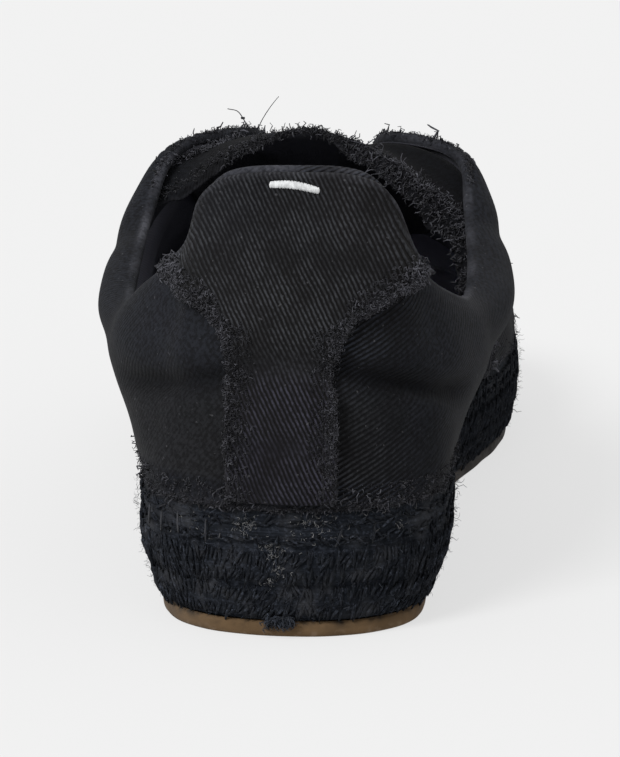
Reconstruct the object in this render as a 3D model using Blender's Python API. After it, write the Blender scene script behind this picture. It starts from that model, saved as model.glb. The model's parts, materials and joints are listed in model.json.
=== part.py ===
"""A low canvas shoe for the left foot, standing on a rope sole with a thin gum outsole.

The toe points along -Y, the outer (lateral) side is +X and the floor is Z = 0.  All tables are drawn in
millimetres at the pattern size, and the named sizes below grade them to the finished shoe in metres.
"""

import math
from collections import namedtuple

import bmesh
import bpy
import numpy as np

# ---- the finished shoe -------------------------------------------------------------------------------------
LENGTH = 0.264
BALL_WIDTH = 0.0925
INSTEP_HEIGHT = 0.085
HEEL_HEIGHT = 0.097
PATTERN = {"length": 264.0, "ball": 92.5, "instep": 85.0, "heel": 97.0}
HEEL_FLAT_END = 85.0
BALL_FLAT_START = 148.0
BALL_FLAT_END = 190.0

WALL = 0.0020
FIT_GAP = 0.0003
UPPER_INSET = 0.0012

TONGUE_THICKNESS = 0.0016
TONGUE_CLEARANCE = 0.0009
STAY_THICKNESS = 0.0012
STRIP_WIDTH = 0.0213
STRIP_CENTRE = 0.0030

INSOLE_THICKNESS = 0.0035
OUTSOLE_THICKNESS = 0.0032
OUTSOLE_INSET = 0.0008
TOE_SPRING = 0.0070
ARCH_LIFT = 0.0013

EYELET_DIAMETER = 0.0045
EYELET_EDGE = 0.0090
EYELET_PAIRS = 5

HEEL_COLUMNS = 13
FRONT_COLUMNS = 33
HEEL_SHARE = 0.20
ROWS = 12

LATERAL, MEDIAL = 1, -1

# ---- one row per section of the upper, from the back of the heel to the tip of the toe -----------------------
# around: share of the way round that side; along, across: the sole's edge;
# belly: lower handle, from the sole's edge; shoulder: upper handle, from the top edge;
# rim: the top edge itself, at the collar, the facing and the throat
Section = namedtuple(
    "Section",
    "name around along across belly_out belly_up shoulder_out shoulder_up rim_along rim_across rim_height",
)

LATERAL_SECTIONS = (
    Section("heel_back", 0.000, 0.0, 0.0, 3.0, 22.0, 3.0, -28.0, 6.0, 0.0, 97.0),
    Section("heel_round", 0.060, 4.0, 18.0, 2.5, 22.0, 3.0, -27.0, 7.3, 12.5, 96.0),
    Section("heel_turn", 0.100, 11.2, 27.4, 2.0, 20.0, 3.5, -24.0, 10.5, 18.6, 90.5),
    Section("tab_side", 0.130, 18.8, 31.9, 1.8, 18.0, 5.0, -19.0, 14.5, 21.3, 81.0),
    Section("wing", 0.155, 26.0, 33.8, 3.2, 16.0, 6.5, -15.0, 20.0, 26.0, 75.6),
    Section("heel_side", 0.200, 39.5, 35.1, 3.6, 14.0, 8.4, -11.0, 33.5, 34.2, 67.2),
    Section("dip", 0.255, 57.0, 35.2, 3.6, 13.0, 12.4, -7.0, 53.0, 38.2, 60.9),
    Section("quarter", 0.335, 82.0, 35.6, 4.0, 16.0, 16.8, -6.0, 82.0, 38.4, 66.0),
    Section("waist", 0.410, 105.5, 37.3, 5.0, 20.0, 13.6, -5.0, 104.0, 35.9, 76.6),
    Section("facing_top", 0.455, 119.5, 39.0, 5.0, 22.0, 12.0, -2.0, 115.0, 30.2, 83.8),
    Section("facing_corner", 0.495, 132.0, 41.0, 5.0, 26.0, 20.0, 0.0, 125.0, 17.5, 85.2),
    Section("facing", 0.545, 147.0, 43.6, 5.0, 26.0, 22.0, -1.0, 142.0, 13.5, 79.5),
    Section("ball", 0.625, 171.5, 46.8, 3.0, 20.0, 20.0, -1.0, 162.0, 11.0, 70.0),
    Section("throat_side", 0.675, 187.0, 47.0, 2.5, 17.0, 20.0, -1.5, 174.0, 6.5, 64.0),
    Section("throat", 0.715, 199.5, 45.8, 2.0, 15.0, 22.0, -2.0, 177.0, 0.0, 62.8),
    Section("vamp", 0.780, 219.0, 41.6, 2.0, 14.5, 20.0, -2.0, 194.0, -2.2, 57.6),
    Section("toe_side", 0.845, 237.0, 34.3, 2.0, 14.0, 19.0, -2.0, 212.0, -4.6, 52.9),
    Section("toe_turn", 0.900, 250.5, 24.8, 2.0, 14.0, 17.0, -2.0, 223.0, -6.0, 50.5),
    Section("toe_round", 0.950, 260.2, 11.0, 2.0, 14.5, 17.0, -2.0, 229.0, -6.7, 49.5),
    Section("toe_tip", 1.000, 264.0, -7.0, 2.0, 15.0, 16.0, -2.0, 232.0, -7.0, 49.0),
)

MEDIAL_SECTIONS = (
    Section("heel_back", 0.000, 0.0, 0.0, 3.0, 22.0, 3.0, -28.0, 6.0, 0.0, 97.0),
    Section("heel_round", 0.060, 4.0, 17.0, 3.0, 22.0, 3.0, -27.0, 7.3, 12.5, 96.0),
    Section("heel_turn", 0.100, 11.2, 25.7, 3.0, 20.0, 3.5, -24.0, 10.5, 18.8, 90.5),
    Section("tab_side", 0.130, 18.4, 29.8, 3.0, 18.0, 5.5, -19.0, 14.5, 21.6, 81.0),
    Section("wing", 0.155, 25.5, 31.5, 3.0, 16.0, 7.0, -15.0, 20.0, 25.5, 73.7),
    Section("heel_side", 0.200, 38.5, 32.2, 2.5, 15.0, 9.0, -11.0, 33.5, 31.6, 66.4),
    Section("dip", 0.255, 55.0, 31.6, 3.5, 15.0, 13.0, -7.0, 53.0, 34.5, 62.4),
    Section("quarter", 0.335, 79.0, 30.3, 6.5, 18.0, 19.2, -6.0, 80.0, 35.0, 66.6),
    Section("waist", 0.410, 101.5, 29.9, 7.0, 23.0, 13.5, -5.0, 102.0, 33.8, 76.0),
    Section("facing_top", 0.455, 115.0, 30.4, 7.0, 25.0, 9.4, -3.0, 114.0, 30.2, 83.0),
    Section("facing_corner", 0.495, 127.0, 31.9, 7.0, 26.0, 17.0, -1.0, 124.0, 17.4, 84.6),
    Section("facing", 0.545, 141.5, 35.0, 6.0, 26.0, 19.0, -1.0, 142.0, 12.5, 79.5),
    Section("ball", 0.625, 164.0, 40.5, 4.0, 22.0, 19.0, -1.0, 162.0, 10.5, 70.0),
    Section("throat_side", 0.675, 178.5, 43.6, 3.0, 18.0, 19.0, -1.5, 174.0, 6.0, 64.0),
    Section("throat", 0.715, 190.5, 44.9, 2.5, 16.0, 21.0, -2.0, 177.0, 0.0, 62.8),
    Section("vamp", 0.780, 210.0, 44.6, 2.0, 15.0, 20.0, -2.0, 194.0, 2.2, 57.6),
    Section("toe_side", 0.845, 231.5, 41.6, 2.0, 14.0, 19.0, -2.0, 212.0, 4.6, 52.9),
    Section("toe_turn", 0.900, 248.5, 34.4, 2.0, 14.0, 17.0, -2.0, 223.0, 6.0, 50.5),
    Section("toe_round", 0.950, 259.6, 22.8, 2.0, 14.5, 17.0, -2.0, 229.0, 6.7, 49.5),
    Section("toe_tip", 1.000, 264.0, 7.0, 2.0, 15.0, 16.0, -2.0, 232.0, 7.0, 49.0),
)

THROAT = 0.715

# the top line of the vamp, closed over the foot, from the throat to the toe
Ridge = namedtuple("Ridge", "around along across height reach")
RIDGE = (
    Ridge(0.715, 177.0, 0.0, 62.8, 22.0),
    Ridge(0.780, 194.0, -2.2, 57.6, 21.0),
    Ridge(0.845, 212.0, -4.6, 52.9, 19.0),
    Ridge(0.900, 223.0, -6.0, 50.5, 17.5),
    Ridge(0.950, 229.0, -6.7, 49.5, 17.0),
    Ridge(1.000, 232.0, -7.0, 49.0, 17.0),
)

# the top of the rope sole, where the upper and the insole sit
Seat = namedtuple("Seat", "along height")
SEAT = (
    Seat(0.0, 27.0),
    Seat(60.0, 27.0),
    Seat(105.0, 24.6),
    Seat(150.0, 22.4),
    Seat(190.0, 22.2),
    Seat(225.0, 23.8),
    Seat(264.0, 27.2),
)

# how far the rope sole's side tucks under toward the gum
Tuck = namedtuple("Tuck", "along lateral medial")
TUCK = (
    Tuck(0.0, 3.6, 3.6),
    Tuck(35.0, 4.3, 5.4),
    Tuck(70.0, 4.0, 5.0),
    Tuck(120.0, 3.0, 3.4),
    Tuck(200.0, 2.4, 2.2),
    Tuck(264.0, 2.8, 2.8),
)
TUCK_POWER = 2.5

# the rope sole's side: three wound rows, each standing proud of the joints between them
Level = namedtuple("Level", "share proud")
ROPE_SIDE = (
    Level(0.000, -0.9),
    Level(0.060, -0.1),
    Level(0.170, 0.3),
    Level(0.280, -0.1),
    Level(0.333, -0.7),
    Level(0.390, -0.1),
    Level(0.500, 0.3),
    Level(0.610, -0.1),
    Level(0.667, -0.8),
    Level(0.730, 0.2),
    Level(0.840, 0.6),
    Level(0.940, 0.2),
    Level(1.000, -0.8),
)

# the tongue: how far its sheet reaches down inside each quarter, and where its raw back edge runs
TongueEdge = namedtuple("TongueEdge", "side low_at_back low_at_root back_low back_high leave slope")
TONGUE_EDGES = (
    TongueEdge(LATERAL, 0.62, 0.70, 0.365, 0.400, 1.00, 0.0),
    TongueEdge(MEDIAL, 0.54, 0.70, 0.330, 0.380, 0.87, 0.22),
)
TONGUE_ROOT = 0.775
TONGUE_KNEE = 0.45
TONGUE_BACK_CENTRE = 0.400

Crown = namedtuple("Crown", "around along across height")
TONGUE_CROWN = (
    Crown(0.330, 110.0, 0.5, 89.8),
    Crown(0.400, 114.0, 0.5, 88.2),
    Crown(0.455, 120.5, 0.5, 86.7),
    Crown(0.495, 127.5, 0.4, 84.6),
    Crown(0.545, 142.0, 0.3, 78.4),
    Crown(0.625, 162.0, 0.0, 68.4),
    Crown(0.675, 173.0, 0.0, 62.8),
    Crown(0.715, 177.0, 0.0, 60.4),
)

# the heel tab: its raw lower edge, measured from the shoe's middle line
Tab = namedtuple("Tab", "across lower_edge")
TAB_EDGE = (
    Tab(-26.2, 73.6),
    Tab(-21.0, 71.8),
    Tab(-15.5, 69.4),
    Tab(-10.5, 65.0),
    Tab(-7.7, 59.5),
    Tab(13.7, 61.0),
    Tab(16.2, 66.0),
    Tab(19.5, 69.0),
    Tab(24.0, 71.2),
    Tab(28.5, 73.0),
)
TAB_TOP_SHARE = 0.992
STRIP_FOOT_SHARE = 0.035


# ---- smooth curves through tables ----------------------------------------------------------------------------
def natural_curve(knots, values):
    """A smooth open curve through the values of a table."""
    x = np.asarray(knots, float)
    y = np.asarray(values, float).reshape(len(x), -1)
    n = len(x)
    h = np.diff(x)
    system = np.eye(n)
    right = np.zeros_like(y)
    for i in range(1, n - 1):
        system[i, i - 1] = h[i - 1]
        system[i, i] = 2.0 * (h[i - 1] + h[i])
        system[i, i + 1] = h[i]
        right[i] = 6.0 * ((y[i + 1] - y[i]) / h[i] - (y[i] - y[i - 1]) / h[i - 1])
    bend = np.linalg.solve(system, right)
    return x, y, bend


def closed_curve(knots, values, period):
    """A smooth closed curve: the last value joins the first one after the period."""
    x = np.append(np.asarray(knots, float), knots[0] + period)
    y = np.asarray(values, float).reshape(len(knots), -1)
    y = np.vstack([y, y[:1]])
    n = len(x) - 1
    h = np.diff(x)
    system = np.zeros((n, n))
    right = np.zeros((n, y.shape[1]))
    for i in range(n):
        before = (i - 1) % n
        system[i, before] += h[before]
        system[i, i] += 2.0 * (h[before] + h[i])
        system[i, (i + 1) % n] += h[i]
        step_out = (y[i + 1] - y[i]) / h[i]
        step_in = (y[i] - (y[i - 1] if i else y[n - 1])) / h[before]
        right[i] = 6.0 * (step_out - step_in)
    bend = np.linalg.solve(system, right)
    return x, y, np.vstack([bend, bend[:1]])


def read(curve, at):
    x, y, bend = curve
    at = min(max(at, x[0]), x[-1])
    i = int(min(max(np.searchsorted(x, at, side="right") - 1, 0), len(x) - 2))
    h = x[i + 1] - x[i]
    a = (x[i + 1] - at) / h
    b = 1.0 - a
    lift = (a ** 3 - a) * bend[i] + (b ** 3 - b) * bend[i + 1]
    return a * y[i] + b * y[i + 1] + lift * h * h / 6.0


def smooth_step(low, high, value):
    """0 at low, 1 at high, with soft ends; low may lie above high."""
    share = min(max((value - low) / (high - low), 0.0), 1.0)
    return share * share * (3.0 - 2.0 * share)


# ---- grading: from the pattern's millimetres to metres -------------------------------------------------------
GRADE_ALONG = LENGTH / PATTERN["length"]
GRADE_ACROSS = BALL_WIDTH / PATTERN["ball"]
GRADE_HEEL = HEEL_HEIGHT / PATTERN["heel"]
GRADE_INSTEP = INSTEP_HEIGHT / PATTERN["instep"]
GRADE_CHANGE = (60.0, 110.0)


def graded_height(height, along):
    share = smooth_step(GRADE_CHANGE[0], GRADE_CHANGE[1], along)
    return height * (GRADE_HEEL * (1.0 - share) + GRADE_INSTEP * share)


def section_values(section, side):
    along = section.along * GRADE_ALONG
    across = side * section.across * GRADE_ACROSS
    rim_along = section.rim_along * GRADE_ALONG
    rim_across = side * section.rim_across * GRADE_ACROSS
    rim_height = graded_height(section.rim_height, section.rim_along)
    return (
        along,
        across,
        section.belly_out * GRADE_ACROSS,
        graded_height(section.belly_up, section.along),
        section.shoulder_out * GRADE_ACROSS,
        graded_height(section.shoulder_up, section.rim_along),
        rim_along,
        rim_across,
        rim_height,
    )


def build_loop():
    """The sections of both sides as one closed curve: heel, lateral side, toe, medial side."""
    knots = []
    values = []
    for section in LATERAL_SECTIONS:
        knots.append(section.around)
        values.append(section_values(section, LATERAL))
    for section in reversed(MEDIAL_SECTIONS[1:-1]):
        knots.append(2.0 - section.around)
        values.append(section_values(section, MEDIAL))
    return closed_curve(knots, np.array(values), 2.0)


MM = 1000.0
RIDGE_CURVE = natural_curve(
    [row.around for row in RIDGE],
    [
        (
            row.along * GRADE_ALONG,
            row.across * GRADE_ACROSS,
            graded_height(row.height, row.along),
            row.reach * GRADE_ACROSS,
        )
        for row in RIDGE
    ],
)
SEAT_CURVE = natural_curve(
    [row.along * GRADE_ALONG for row in SEAT],
    [row.height * GRADE_HEEL for row in SEAT],
)
TUCK_CURVE = natural_curve(
    [row.along * GRADE_ALONG for row in TUCK],
    [(row.lateral * GRADE_ACROSS, row.medial * GRADE_ACROSS) for row in TUCK],
)
CROWN_CURVE = natural_curve(
    [row.around for row in TONGUE_CROWN],
    [
        (
            row.along * GRADE_ALONG,
            row.across * GRADE_ACROSS,
            graded_height(row.height, row.along),
        )
        for row in TONGUE_CROWN
    ],
)
TAB_CURVE = natural_curve(
    [row.across * GRADE_ACROSS for row in TAB_EDGE],
    [row.lower_edge * GRADE_HEEL for row in TAB_EDGE],
)
LOOP = build_loop()


# ---- the sole's own shape -------------------------------------------------------------------------------------
def seat_height(along):
    return float(read(SEAT_CURVE, along)[0])


def ground_height(along):
    """The underside: flat under the heel and the ball, lifted at the arch and sprung at the toe."""
    arch_start = HEEL_FLAT_END * GRADE_ALONG
    ball_start = BALL_FLAT_START * GRADE_ALONG
    ball_end = BALL_FLAT_END * GRADE_ALONG
    if arch_start < along < ball_start:
        share = (along - arch_start) / (ball_start - arch_start)
        return ARCH_LIFT * math.sin(math.pi * share) ** 2
    if along > ball_end:
        share = (along - ball_end) / (LENGTH - ball_end)
        return TOE_SPRING * share ** 2
    return 0.0


def edge_point(turn):
    """The sole's edge: (along, across) and the direction pointing out of the sole there."""
    step = 0.002
    here = read(LOOP, turn % 2.0)
    ahead = read(LOOP, (turn + step) % 2.0)
    behind = read(LOOP, (turn - step) % 2.0)
    tangent = np.array([ahead[0] - behind[0], ahead[1] - behind[1]])
    tangent /= np.linalg.norm(tangent)
    return here, np.array([-tangent[1], tangent[0]])


def turn_of(side, around):
    return around if side == LATERAL else (2.0 - around) % 2.0


def tuck_in(side, around, share):
    """How far the sole's edge lies inside its widest line; share 0 at the gum, 1 at the seat."""
    along = read(LOOP, turn_of(side, around))[0]
    lateral, medial = read(TUCK_CURVE, along)
    depth = lateral if side == LATERAL else medial
    if around < 0.1 or around > 0.9:
        blend = smooth_step(0.0, 0.1, min(around, 1.0 - around))
        depth = (lateral + medial) / 2.0 * (1.0 - blend) + depth * blend
    return float(depth) * (1.0 - share) ** TUCK_POWER


def sole_point(side, around, inset, height, share=1.0):
    """A point of the sole's outline moved in by the inset; height is a function of the place along the shoe."""
    here, out = edge_point(turn_of(side, around))
    inset = inset + tuck_in(side, around, share)
    along = here[0] - out[0] * inset
    across = here[1] - out[1] * inset
    return np.array([across, -along, height(along)])


# ---- the upper's own function ---------------------------------------------------------------------------------
def ridge_run(around):
    """The direction of the vamp's top line toward the toe, and the same direction laid level."""
    at = min(max(around, THROAT), 1.0)
    ahead = read(RIDGE_CURVE, min(at + 0.004, 1.0))
    behind = read(RIDGE_CURVE, max(at - 0.004, THROAT))
    run = np.array([ahead[1] - behind[1], -(ahead[0] - behind[0]), ahead[2] - behind[2]])
    run /= np.linalg.norm(run)
    level = np.array([run[0], run[1], 0.0])
    return run, level / np.linalg.norm(level)


def profile(side, around):
    """Four handles of the upper's section, from the sole's edge to the top edge."""
    around = min(max(around, 0.0), 1.0)
    here, out = edge_point(turn_of(side, around))
    outward = np.array([out[1], -out[0], 0.0])
    upward = np.array([0.0, 0.0, 1.0])
    foot = np.array([here[1], -here[0], 0.0]) - outward * UPPER_INSET
    foot[2] = seat_height(-foot[1]) + FIT_GAP
    belly = foot + outward * here[2] + upward * here[3]
    if around < THROAT:
        rim = np.array([here[7], -here[6], here[8]])
        shoulder = rim + outward * here[4] + upward * here[5]
        share = smooth_step(THROAT - 0.075, THROAT, around)
    else:
        ridge = read(RIDGE_CURVE, around)
        rim = np.array([ridge[1], -ridge[0], ridge[2]])
        shoulder = rim
        share = 1.0
    if share > 0.0:
        ridge = read(RIDGE_CURVE, around)
        run, level = ridge_run(around)
        cross = np.array([-level[1], level[0], 0.0]) * side
        aim = foot - rim
        aim[2] = 0.0
        aim /= np.linalg.norm(aim)
        forward = float(aim @ level)
        sideways = float(aim @ cross)
        over = rim + (run * forward + cross * sideways) * ridge[3]
        shoulder = shoulder * (1.0 - share) + over * share
    return foot, belly, shoulder, rim


def upper_point(side, around, up):
    foot, belly, shoulder, rim = profile(side, around)
    down = 1.0 - up
    return (
        foot * down ** 3
        + belly * 3.0 * down * down * up
        + shoulder * 3.0 * down * up * up
        + rim * up ** 3
    )


def upper_normal(side, around, up):
    """The direction out of the upper."""
    step = 0.003
    if around >= THROAT and up > 0.9999:
        run, level = ridge_run(around)
        normal = np.cross(np.array([-level[1], level[0], 0.0]), run)
        return normal * math.copysign(1.0, normal[2])
    near = min(max(up, step), 0.985)
    low = max(around - step, 0.0)
    high = min(around + step, 1.0)
    along = upper_point(side, high, near) - upper_point(side, low, near)
    if around < step:
        along = upper_point(side, step, near) - upper_point(-side, step, near)
    if around > 1.0 - step:
        along = upper_point(-side, 1.0 - step, near) - upper_point(side, 1.0 - step, near)
    rise = upper_point(side, around, min(near + step, 1.0)) - upper_point(side, around, near - step)
    normal = np.cross(rise, along) * side
    return normal / np.linalg.norm(normal)


def upper_skin(side, around, up, lift):
    """A point on the form that lies outside (lift > 0) or inside (lift < 0) the upper's outer face."""
    return upper_point(side, around, up) + upper_normal(side, around, up) * lift


# ---- mesh helpers ---------------------------------------------------------------------------------------------
def clear_scene():
    for item in list(bpy.data.objects):
        bpy.data.objects.remove(item, do_unlink=True)


def make_material(name, colour, roughness):
    material = bpy.data.materials.new(name)
    material.use_nodes = True
    shader = material.node_tree.nodes["Principled BSDF"]
    shader.inputs["Base Color"].default_value = (*colour, 1.0)
    shader.inputs["Roughness"].default_value = roughness
    return material


def make_object(name, bm, material, smooth=True):
    bmesh.ops.remove_doubles(bm, verts=bm.verts, dist=0.00001)
    bmesh.ops.recalc_face_normals(bm, faces=bm.faces)
    mesh = bpy.data.meshes.new(name)
    bm.to_mesh(mesh)
    bm.free()
    if smooth:
        for polygon in mesh.polygons:
            polygon.use_smooth = True
    item = bpy.data.objects.new(name, mesh)
    mesh.materials.append(material)
    bpy.context.scene.collection.objects.link(item)
    return item


def add_face(bm, corners):
    """A face between vertices, without the corners that coincide."""
    kept = []
    for corner in corners:
        if all((corner.co - other.co).length > 0.00001 for other in kept):
            kept.append(corner)
    if len(kept) >= 3:
        bm.faces.new(kept)


def ring_grid(bm, rings):
    """Vertices for closed rings of equal count, with faces between neighbouring rings."""
    grid = [[bm.verts.new(point) for point in ring] for ring in rings]
    count = len(rings[0])
    for lower, upper in zip(grid, grid[1:]):
        for i in range(count):
            j = (i + 1) % count
            add_face(bm, (lower[i], lower[j], upper[j], upper[i]))
    return grid


def bridge_across(bm, ring):
    """Closes a ring with strips that run straight across from the lateral to the medial side."""
    count = len(ring)
    half = count // 2
    for i in range(half):
        first, second = ring[i], ring[i + 1]
        third, fourth = ring[(count - i - 1) % count], ring[(count - i) % count]
        add_face(bm, (first, second, third, fourth))


def turns():
    """Places round the shoe: the lateral side from heel to toe, then the medial side back to the heel."""
    shares = list(np.linspace(0.0, HEEL_SHARE, HEEL_COLUMNS + 1))
    shares += list(np.linspace(HEEL_SHARE, 1.0, FRONT_COLUMNS + 1)[1:])
    shares = [float(share) for share in shares]
    lateral = [(LATERAL, share) for share in shares]
    medial = [(MEDIAL, share) for share in reversed(shares[1:-1])]
    return lateral + medial


# ---- pieces ---------------------------------------------------------------------------------------------------
def build_outsole(material):
    places = turns()
    levels = (
        (OUTSOLE_INSET + 0.0006, 0.0),
        (OUTSOLE_INSET, 0.0006),
        (OUTSOLE_INSET, OUTSOLE_THICKNESS - 0.0004),
        (OUTSOLE_INSET + 0.0004, OUTSOLE_THICKNESS),
    )
    rings = []
    for inset, rise in levels:
        rings.append([sole_point(s, u, inset, lambda y, r=rise: ground_height(y) + r, 0.0) for s, u in places])
    bm = bmesh.new()
    grid = ring_grid(bm, rings)
    bridge_across(bm, grid[0])
    bridge_across(bm, grid[-1])
    return make_object("outsole", bm, material)


def build_midsole(material):
    places = turns()

    def height(along, share):
        low = ground_height(along) + OUTSOLE_THICKNESS + FIT_GAP
        return low + (seat_height(along) - low) * share

    rings = []
    for level in ROPE_SIDE:
        inset = -level.proud / MM
        share = level.share
        rings.append([sole_point(s, u, inset, lambda y, v=share: height(y, v), share) for s, u in places])
    bm = bmesh.new()
    grid = ring_grid(bm, rings)
    bridge_across(bm, grid[0])
    bridge_across(bm, grid[-1])
    return make_object("midsole", bm, material)


def build_insole(material):
    places = turns()
    edge = UPPER_INSET + WALL + FIT_GAP + 0.0002
    levels = (
        (edge, FIT_GAP),
        (edge, FIT_GAP + INSOLE_THICKNESS * 0.7),
        (edge + 0.0010, FIT_GAP + INSOLE_THICKNESS),
    )
    rings = []
    for inset, rise in levels:
        rings.append([sole_point(s, u, inset, lambda y, r=rise: seat_height(y) + r) for s, u in places])
    bm = bmesh.new()
    grid = ring_grid(bm, rings)
    bridge_across(bm, grid[0])
    bridge_across(bm, grid[-1])
    return make_object("insole", bm, material)


def build_upper(material):
    """One hollow body: an outer face, an inner face a wall's thickness inside it, and the two edges."""
    bm = bmesh.new()
    places = turns()
    outer = []
    inner = []
    for row in range(ROWS + 1):
        up = row / ROWS
        outer_ring = []
        inner_ring = []
        for side, around in places:
            point = upper_point(side, around, up)
            within = point - upper_normal(side, around, up) * WALL
            if row == 0:
                within[2] = point[2]
            outer_ring.append(bm.verts.new(point))
            inner_ring.append(bm.verts.new(within))
        outer.append(outer_ring)
        inner.append(inner_ring)
    count = len(places)
    for grid, flip in ((outer, False), (inner, True)):
        for row in range(ROWS):
            for i in range(count):
                j = (i + 1) % count
                corners = [grid[row][i], grid[row][j], grid[row + 1][j], grid[row + 1][i]]
                add_face(bm, corners[::-1] if flip else corners)
    for i in range(count):
        j = (i + 1) % count
        add_face(bm, (outer[0][i], inner[0][i], inner[0][j], outer[0][j]))
        open_edge = places[i][1] < THROAT - 1e-6 or places[j][1] < THROAT - 1e-6
        if open_edge:
            add_face(bm, (outer[-1][i], outer[-1][j], inner[-1][j], inner[-1][i]))
    return make_object("upper", bm, material)


def eyelet_place(side, around):
    """The share up the section that lies EYELET_EDGE below the facing's edge."""
    rim = upper_point(side, around, 1.0)
    low, high = 0.5, 1.0
    for _ in range(30):
        middle = (low + high) / 2.0
        if np.linalg.norm(upper_point(side, around, middle) - rim) > EYELET_EDGE:
            low = middle
        else:
            high = middle
    return (low + high) / 2.0


def cut_eyelets(upper):
    first, last = 0.508, 0.650
    bm = bmesh.new()
    for side in (LATERAL, MEDIAL):
        for k in range(EYELET_PAIRS):
            around = first + (last - first) * k / (EYELET_PAIRS - 1)
            up = eyelet_place(side, around)
            centre = upper_skin(side, around, up, -WALL / 2.0)
            normal = upper_normal(side, around, up)
            aside = np.cross(normal, (0.0, 0.0, 1.0))
            aside /= np.linalg.norm(aside)
            other = np.cross(normal, aside)
            rings = []
            for lift in (-WALL * 1.3, WALL * 1.3):
                ring = []
                for corner in range(10):
                    angle = 2.0 * math.pi * corner / 10
                    spoke = aside * math.cos(angle) + other * math.sin(angle)
                    ring.append(centre + normal * lift + spoke * EYELET_DIAMETER / 2.0)
                rings.append(ring)
            grid = ring_grid(bm, rings)
            bm.faces.new(grid[0][::-1])
            bm.faces.new(grid[1])
    bmesh.ops.recalc_face_normals(bm, faces=bm.faces)
    mesh = bpy.data.meshes.new("eyelet_punches")
    bm.to_mesh(mesh)
    bm.free()
    punches = bpy.data.objects.new("eyelet_punches", mesh)
    punches.hide_render = True
    punches.display_type = "WIRE"
    bpy.context.scene.collection.objects.link(punches)
    cut = upper.modifiers.new("eyelets", "BOOLEAN")
    cut.operation = "DIFFERENCE"
    cut.solver = "EXACT"
    cut.object = punches
    return punches


def tongue_cross(side, around, leave_at, slope, share):
    """From the facing's inner face (share 0) over the foot to the tongue's middle line (share 1)."""
    lift = -(WALL + TONGUE_CLEARANCE)
    start = upper_skin(side, around, leave_at, lift)
    before = upper_skin(side, around, leave_at - 0.06, lift)
    leave = start - before
    leave /= np.linalg.norm(leave)
    crown = read(CROWN_CURVE, around)
    centre = np.array([crown[1], -crown[0], crown[2]])
    gap = np.linalg.norm(centre - start)
    inward = (centre - start) / gap
    lean = smooth_step(1.0, 0.85, leave_at) * 0.7
    leave = leave * (1.0 - lean) + inward * lean
    first = start + leave * gap * (0.33 - 0.5 * slope)
    second = centre + np.array([side, 0.0, -slope]) * gap * 0.38
    rest = 1.0 - share
    return (
        start * rest ** 3
        + first * 3.0 * rest * rest * share
        + second * 3.0 * rest * share * share
        + centre * share ** 3
    )


def tongue_point(edge, across, forward):
    """across 0 at the low edge inside the quarter, 1 on the middle line; forward 0 at the raw back edge."""
    if across < TONGUE_KNEE:
        share = across / TONGUE_KNEE
        back = edge.back_low + (edge.back_high - edge.back_low) * share
    else:
        share = (across - TONGUE_KNEE) / (1.0 - TONGUE_KNEE)
        back = edge.back_high + (TONGUE_BACK_CENTRE - edge.back_high) * share
    around = back + (TONGUE_ROOT - back) * forward
    middle = TONGUE_BACK_CENTRE + (TONGUE_ROOT - TONGUE_BACK_CENTRE) * forward
    knee = TONGUE_KNEE + (1.0 - TONGUE_KNEE) * smooth_step(0.56, THROAT, middle)
    leave_at = edge.leave + (1.0 - edge.leave) * smooth_step(0.42, 0.56, middle)
    if across <= knee or around >= THROAT:
        low = edge.low_at_back + (edge.low_at_root - edge.low_at_back) * forward
        up = low + (leave_at - low) * min(across / knee, 1.0)
        return upper_skin(edge.side, around, up, -(WALL + TONGUE_CLEARANCE))
    slope = edge.slope * smooth_step(0.60, 0.44, middle)
    return tongue_cross(edge.side, around, leave_at, slope, (across - knee) / (1.0 - knee))


def thick_sheet(bm, points, thickness, outward_z):
    """A sheet of the given points with a thickness below them; returns nothing, fills bm."""
    rows = len(points)
    columns = len(points[0])
    top = [[bm.verts.new(point) for point in row] for row in points]
    for r in range(rows - 1):
        for c in range(columns - 1):
            add_face(bm, (top[r][c], top[r][c + 1], top[r + 1][c + 1], top[r + 1][c]))
    bm.normal_update()
    sign = 1.0 if top[rows // 2][columns // 2].normal.z * outward_z > 0.0 else -1.0
    low = [[bm.verts.new(v.co - v.normal * sign * thickness) for v in row] for row in top]
    for r in range(rows - 1):
        for c in range(columns - 1):
            add_face(bm, (low[r + 1][c], low[r + 1][c + 1], low[r][c + 1], low[r][c]))
    for c in range(columns - 1):
        add_face(bm, (top[0][c], low[0][c], low[0][c + 1], top[0][c + 1]))
        add_face(bm, (top[-1][c], top[-1][c + 1], low[-1][c + 1], low[-1][c]))
    for r in range(rows - 1):
        add_face(bm, (top[r][0], top[r + 1][0], low[r + 1][0], low[r][0]))
        add_face(bm, (top[r][-1], low[r][-1], low[r + 1][-1], top[r + 1][-1]))


def build_tongue(material):
    lateral, medial = TONGUE_EDGES
    half = 10
    lengthwise = 15
    points = []
    for r in range(lengthwise + 1):
        forward = r / lengthwise
        row = [tongue_point(lateral, c / half, forward) for c in range(half + 1)]
        row += [tongue_point(medial, c / half, forward) for c in range(half - 1, -1, -1)]
        points.append(row)
    bm = bmesh.new()
    thick_sheet(bm, points, TONGUE_THICKNESS, 1.0)
    return make_object("tongue", bm, material)


def heel_turn(across, up):
    """Side and place round the heel where the upper lies at that distance from the middle line."""
    side = LATERAL if across >= 0.0 else MEDIAL
    low, high = 0.0, 0.30
    for _ in range(26):
        middle = (low + high) / 2.0
        if abs(upper_point(side, middle, up)[0]) < abs(across):
            low = middle
        else:
            high = middle
    return side, (low + high) / 2.0


def heel_rise(across, height):
    """The share up the section at which the upper reaches that height at that distance from the middle."""
    low, high = 0.0, 1.0
    for _ in range(20):
        middle = (low + high) / 2.0
        side, around = heel_turn(across, middle)
        if upper_point(side, around, middle)[2] < height:
            low = middle
        else:
            high = middle
    return (low + high) / 2.0


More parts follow.
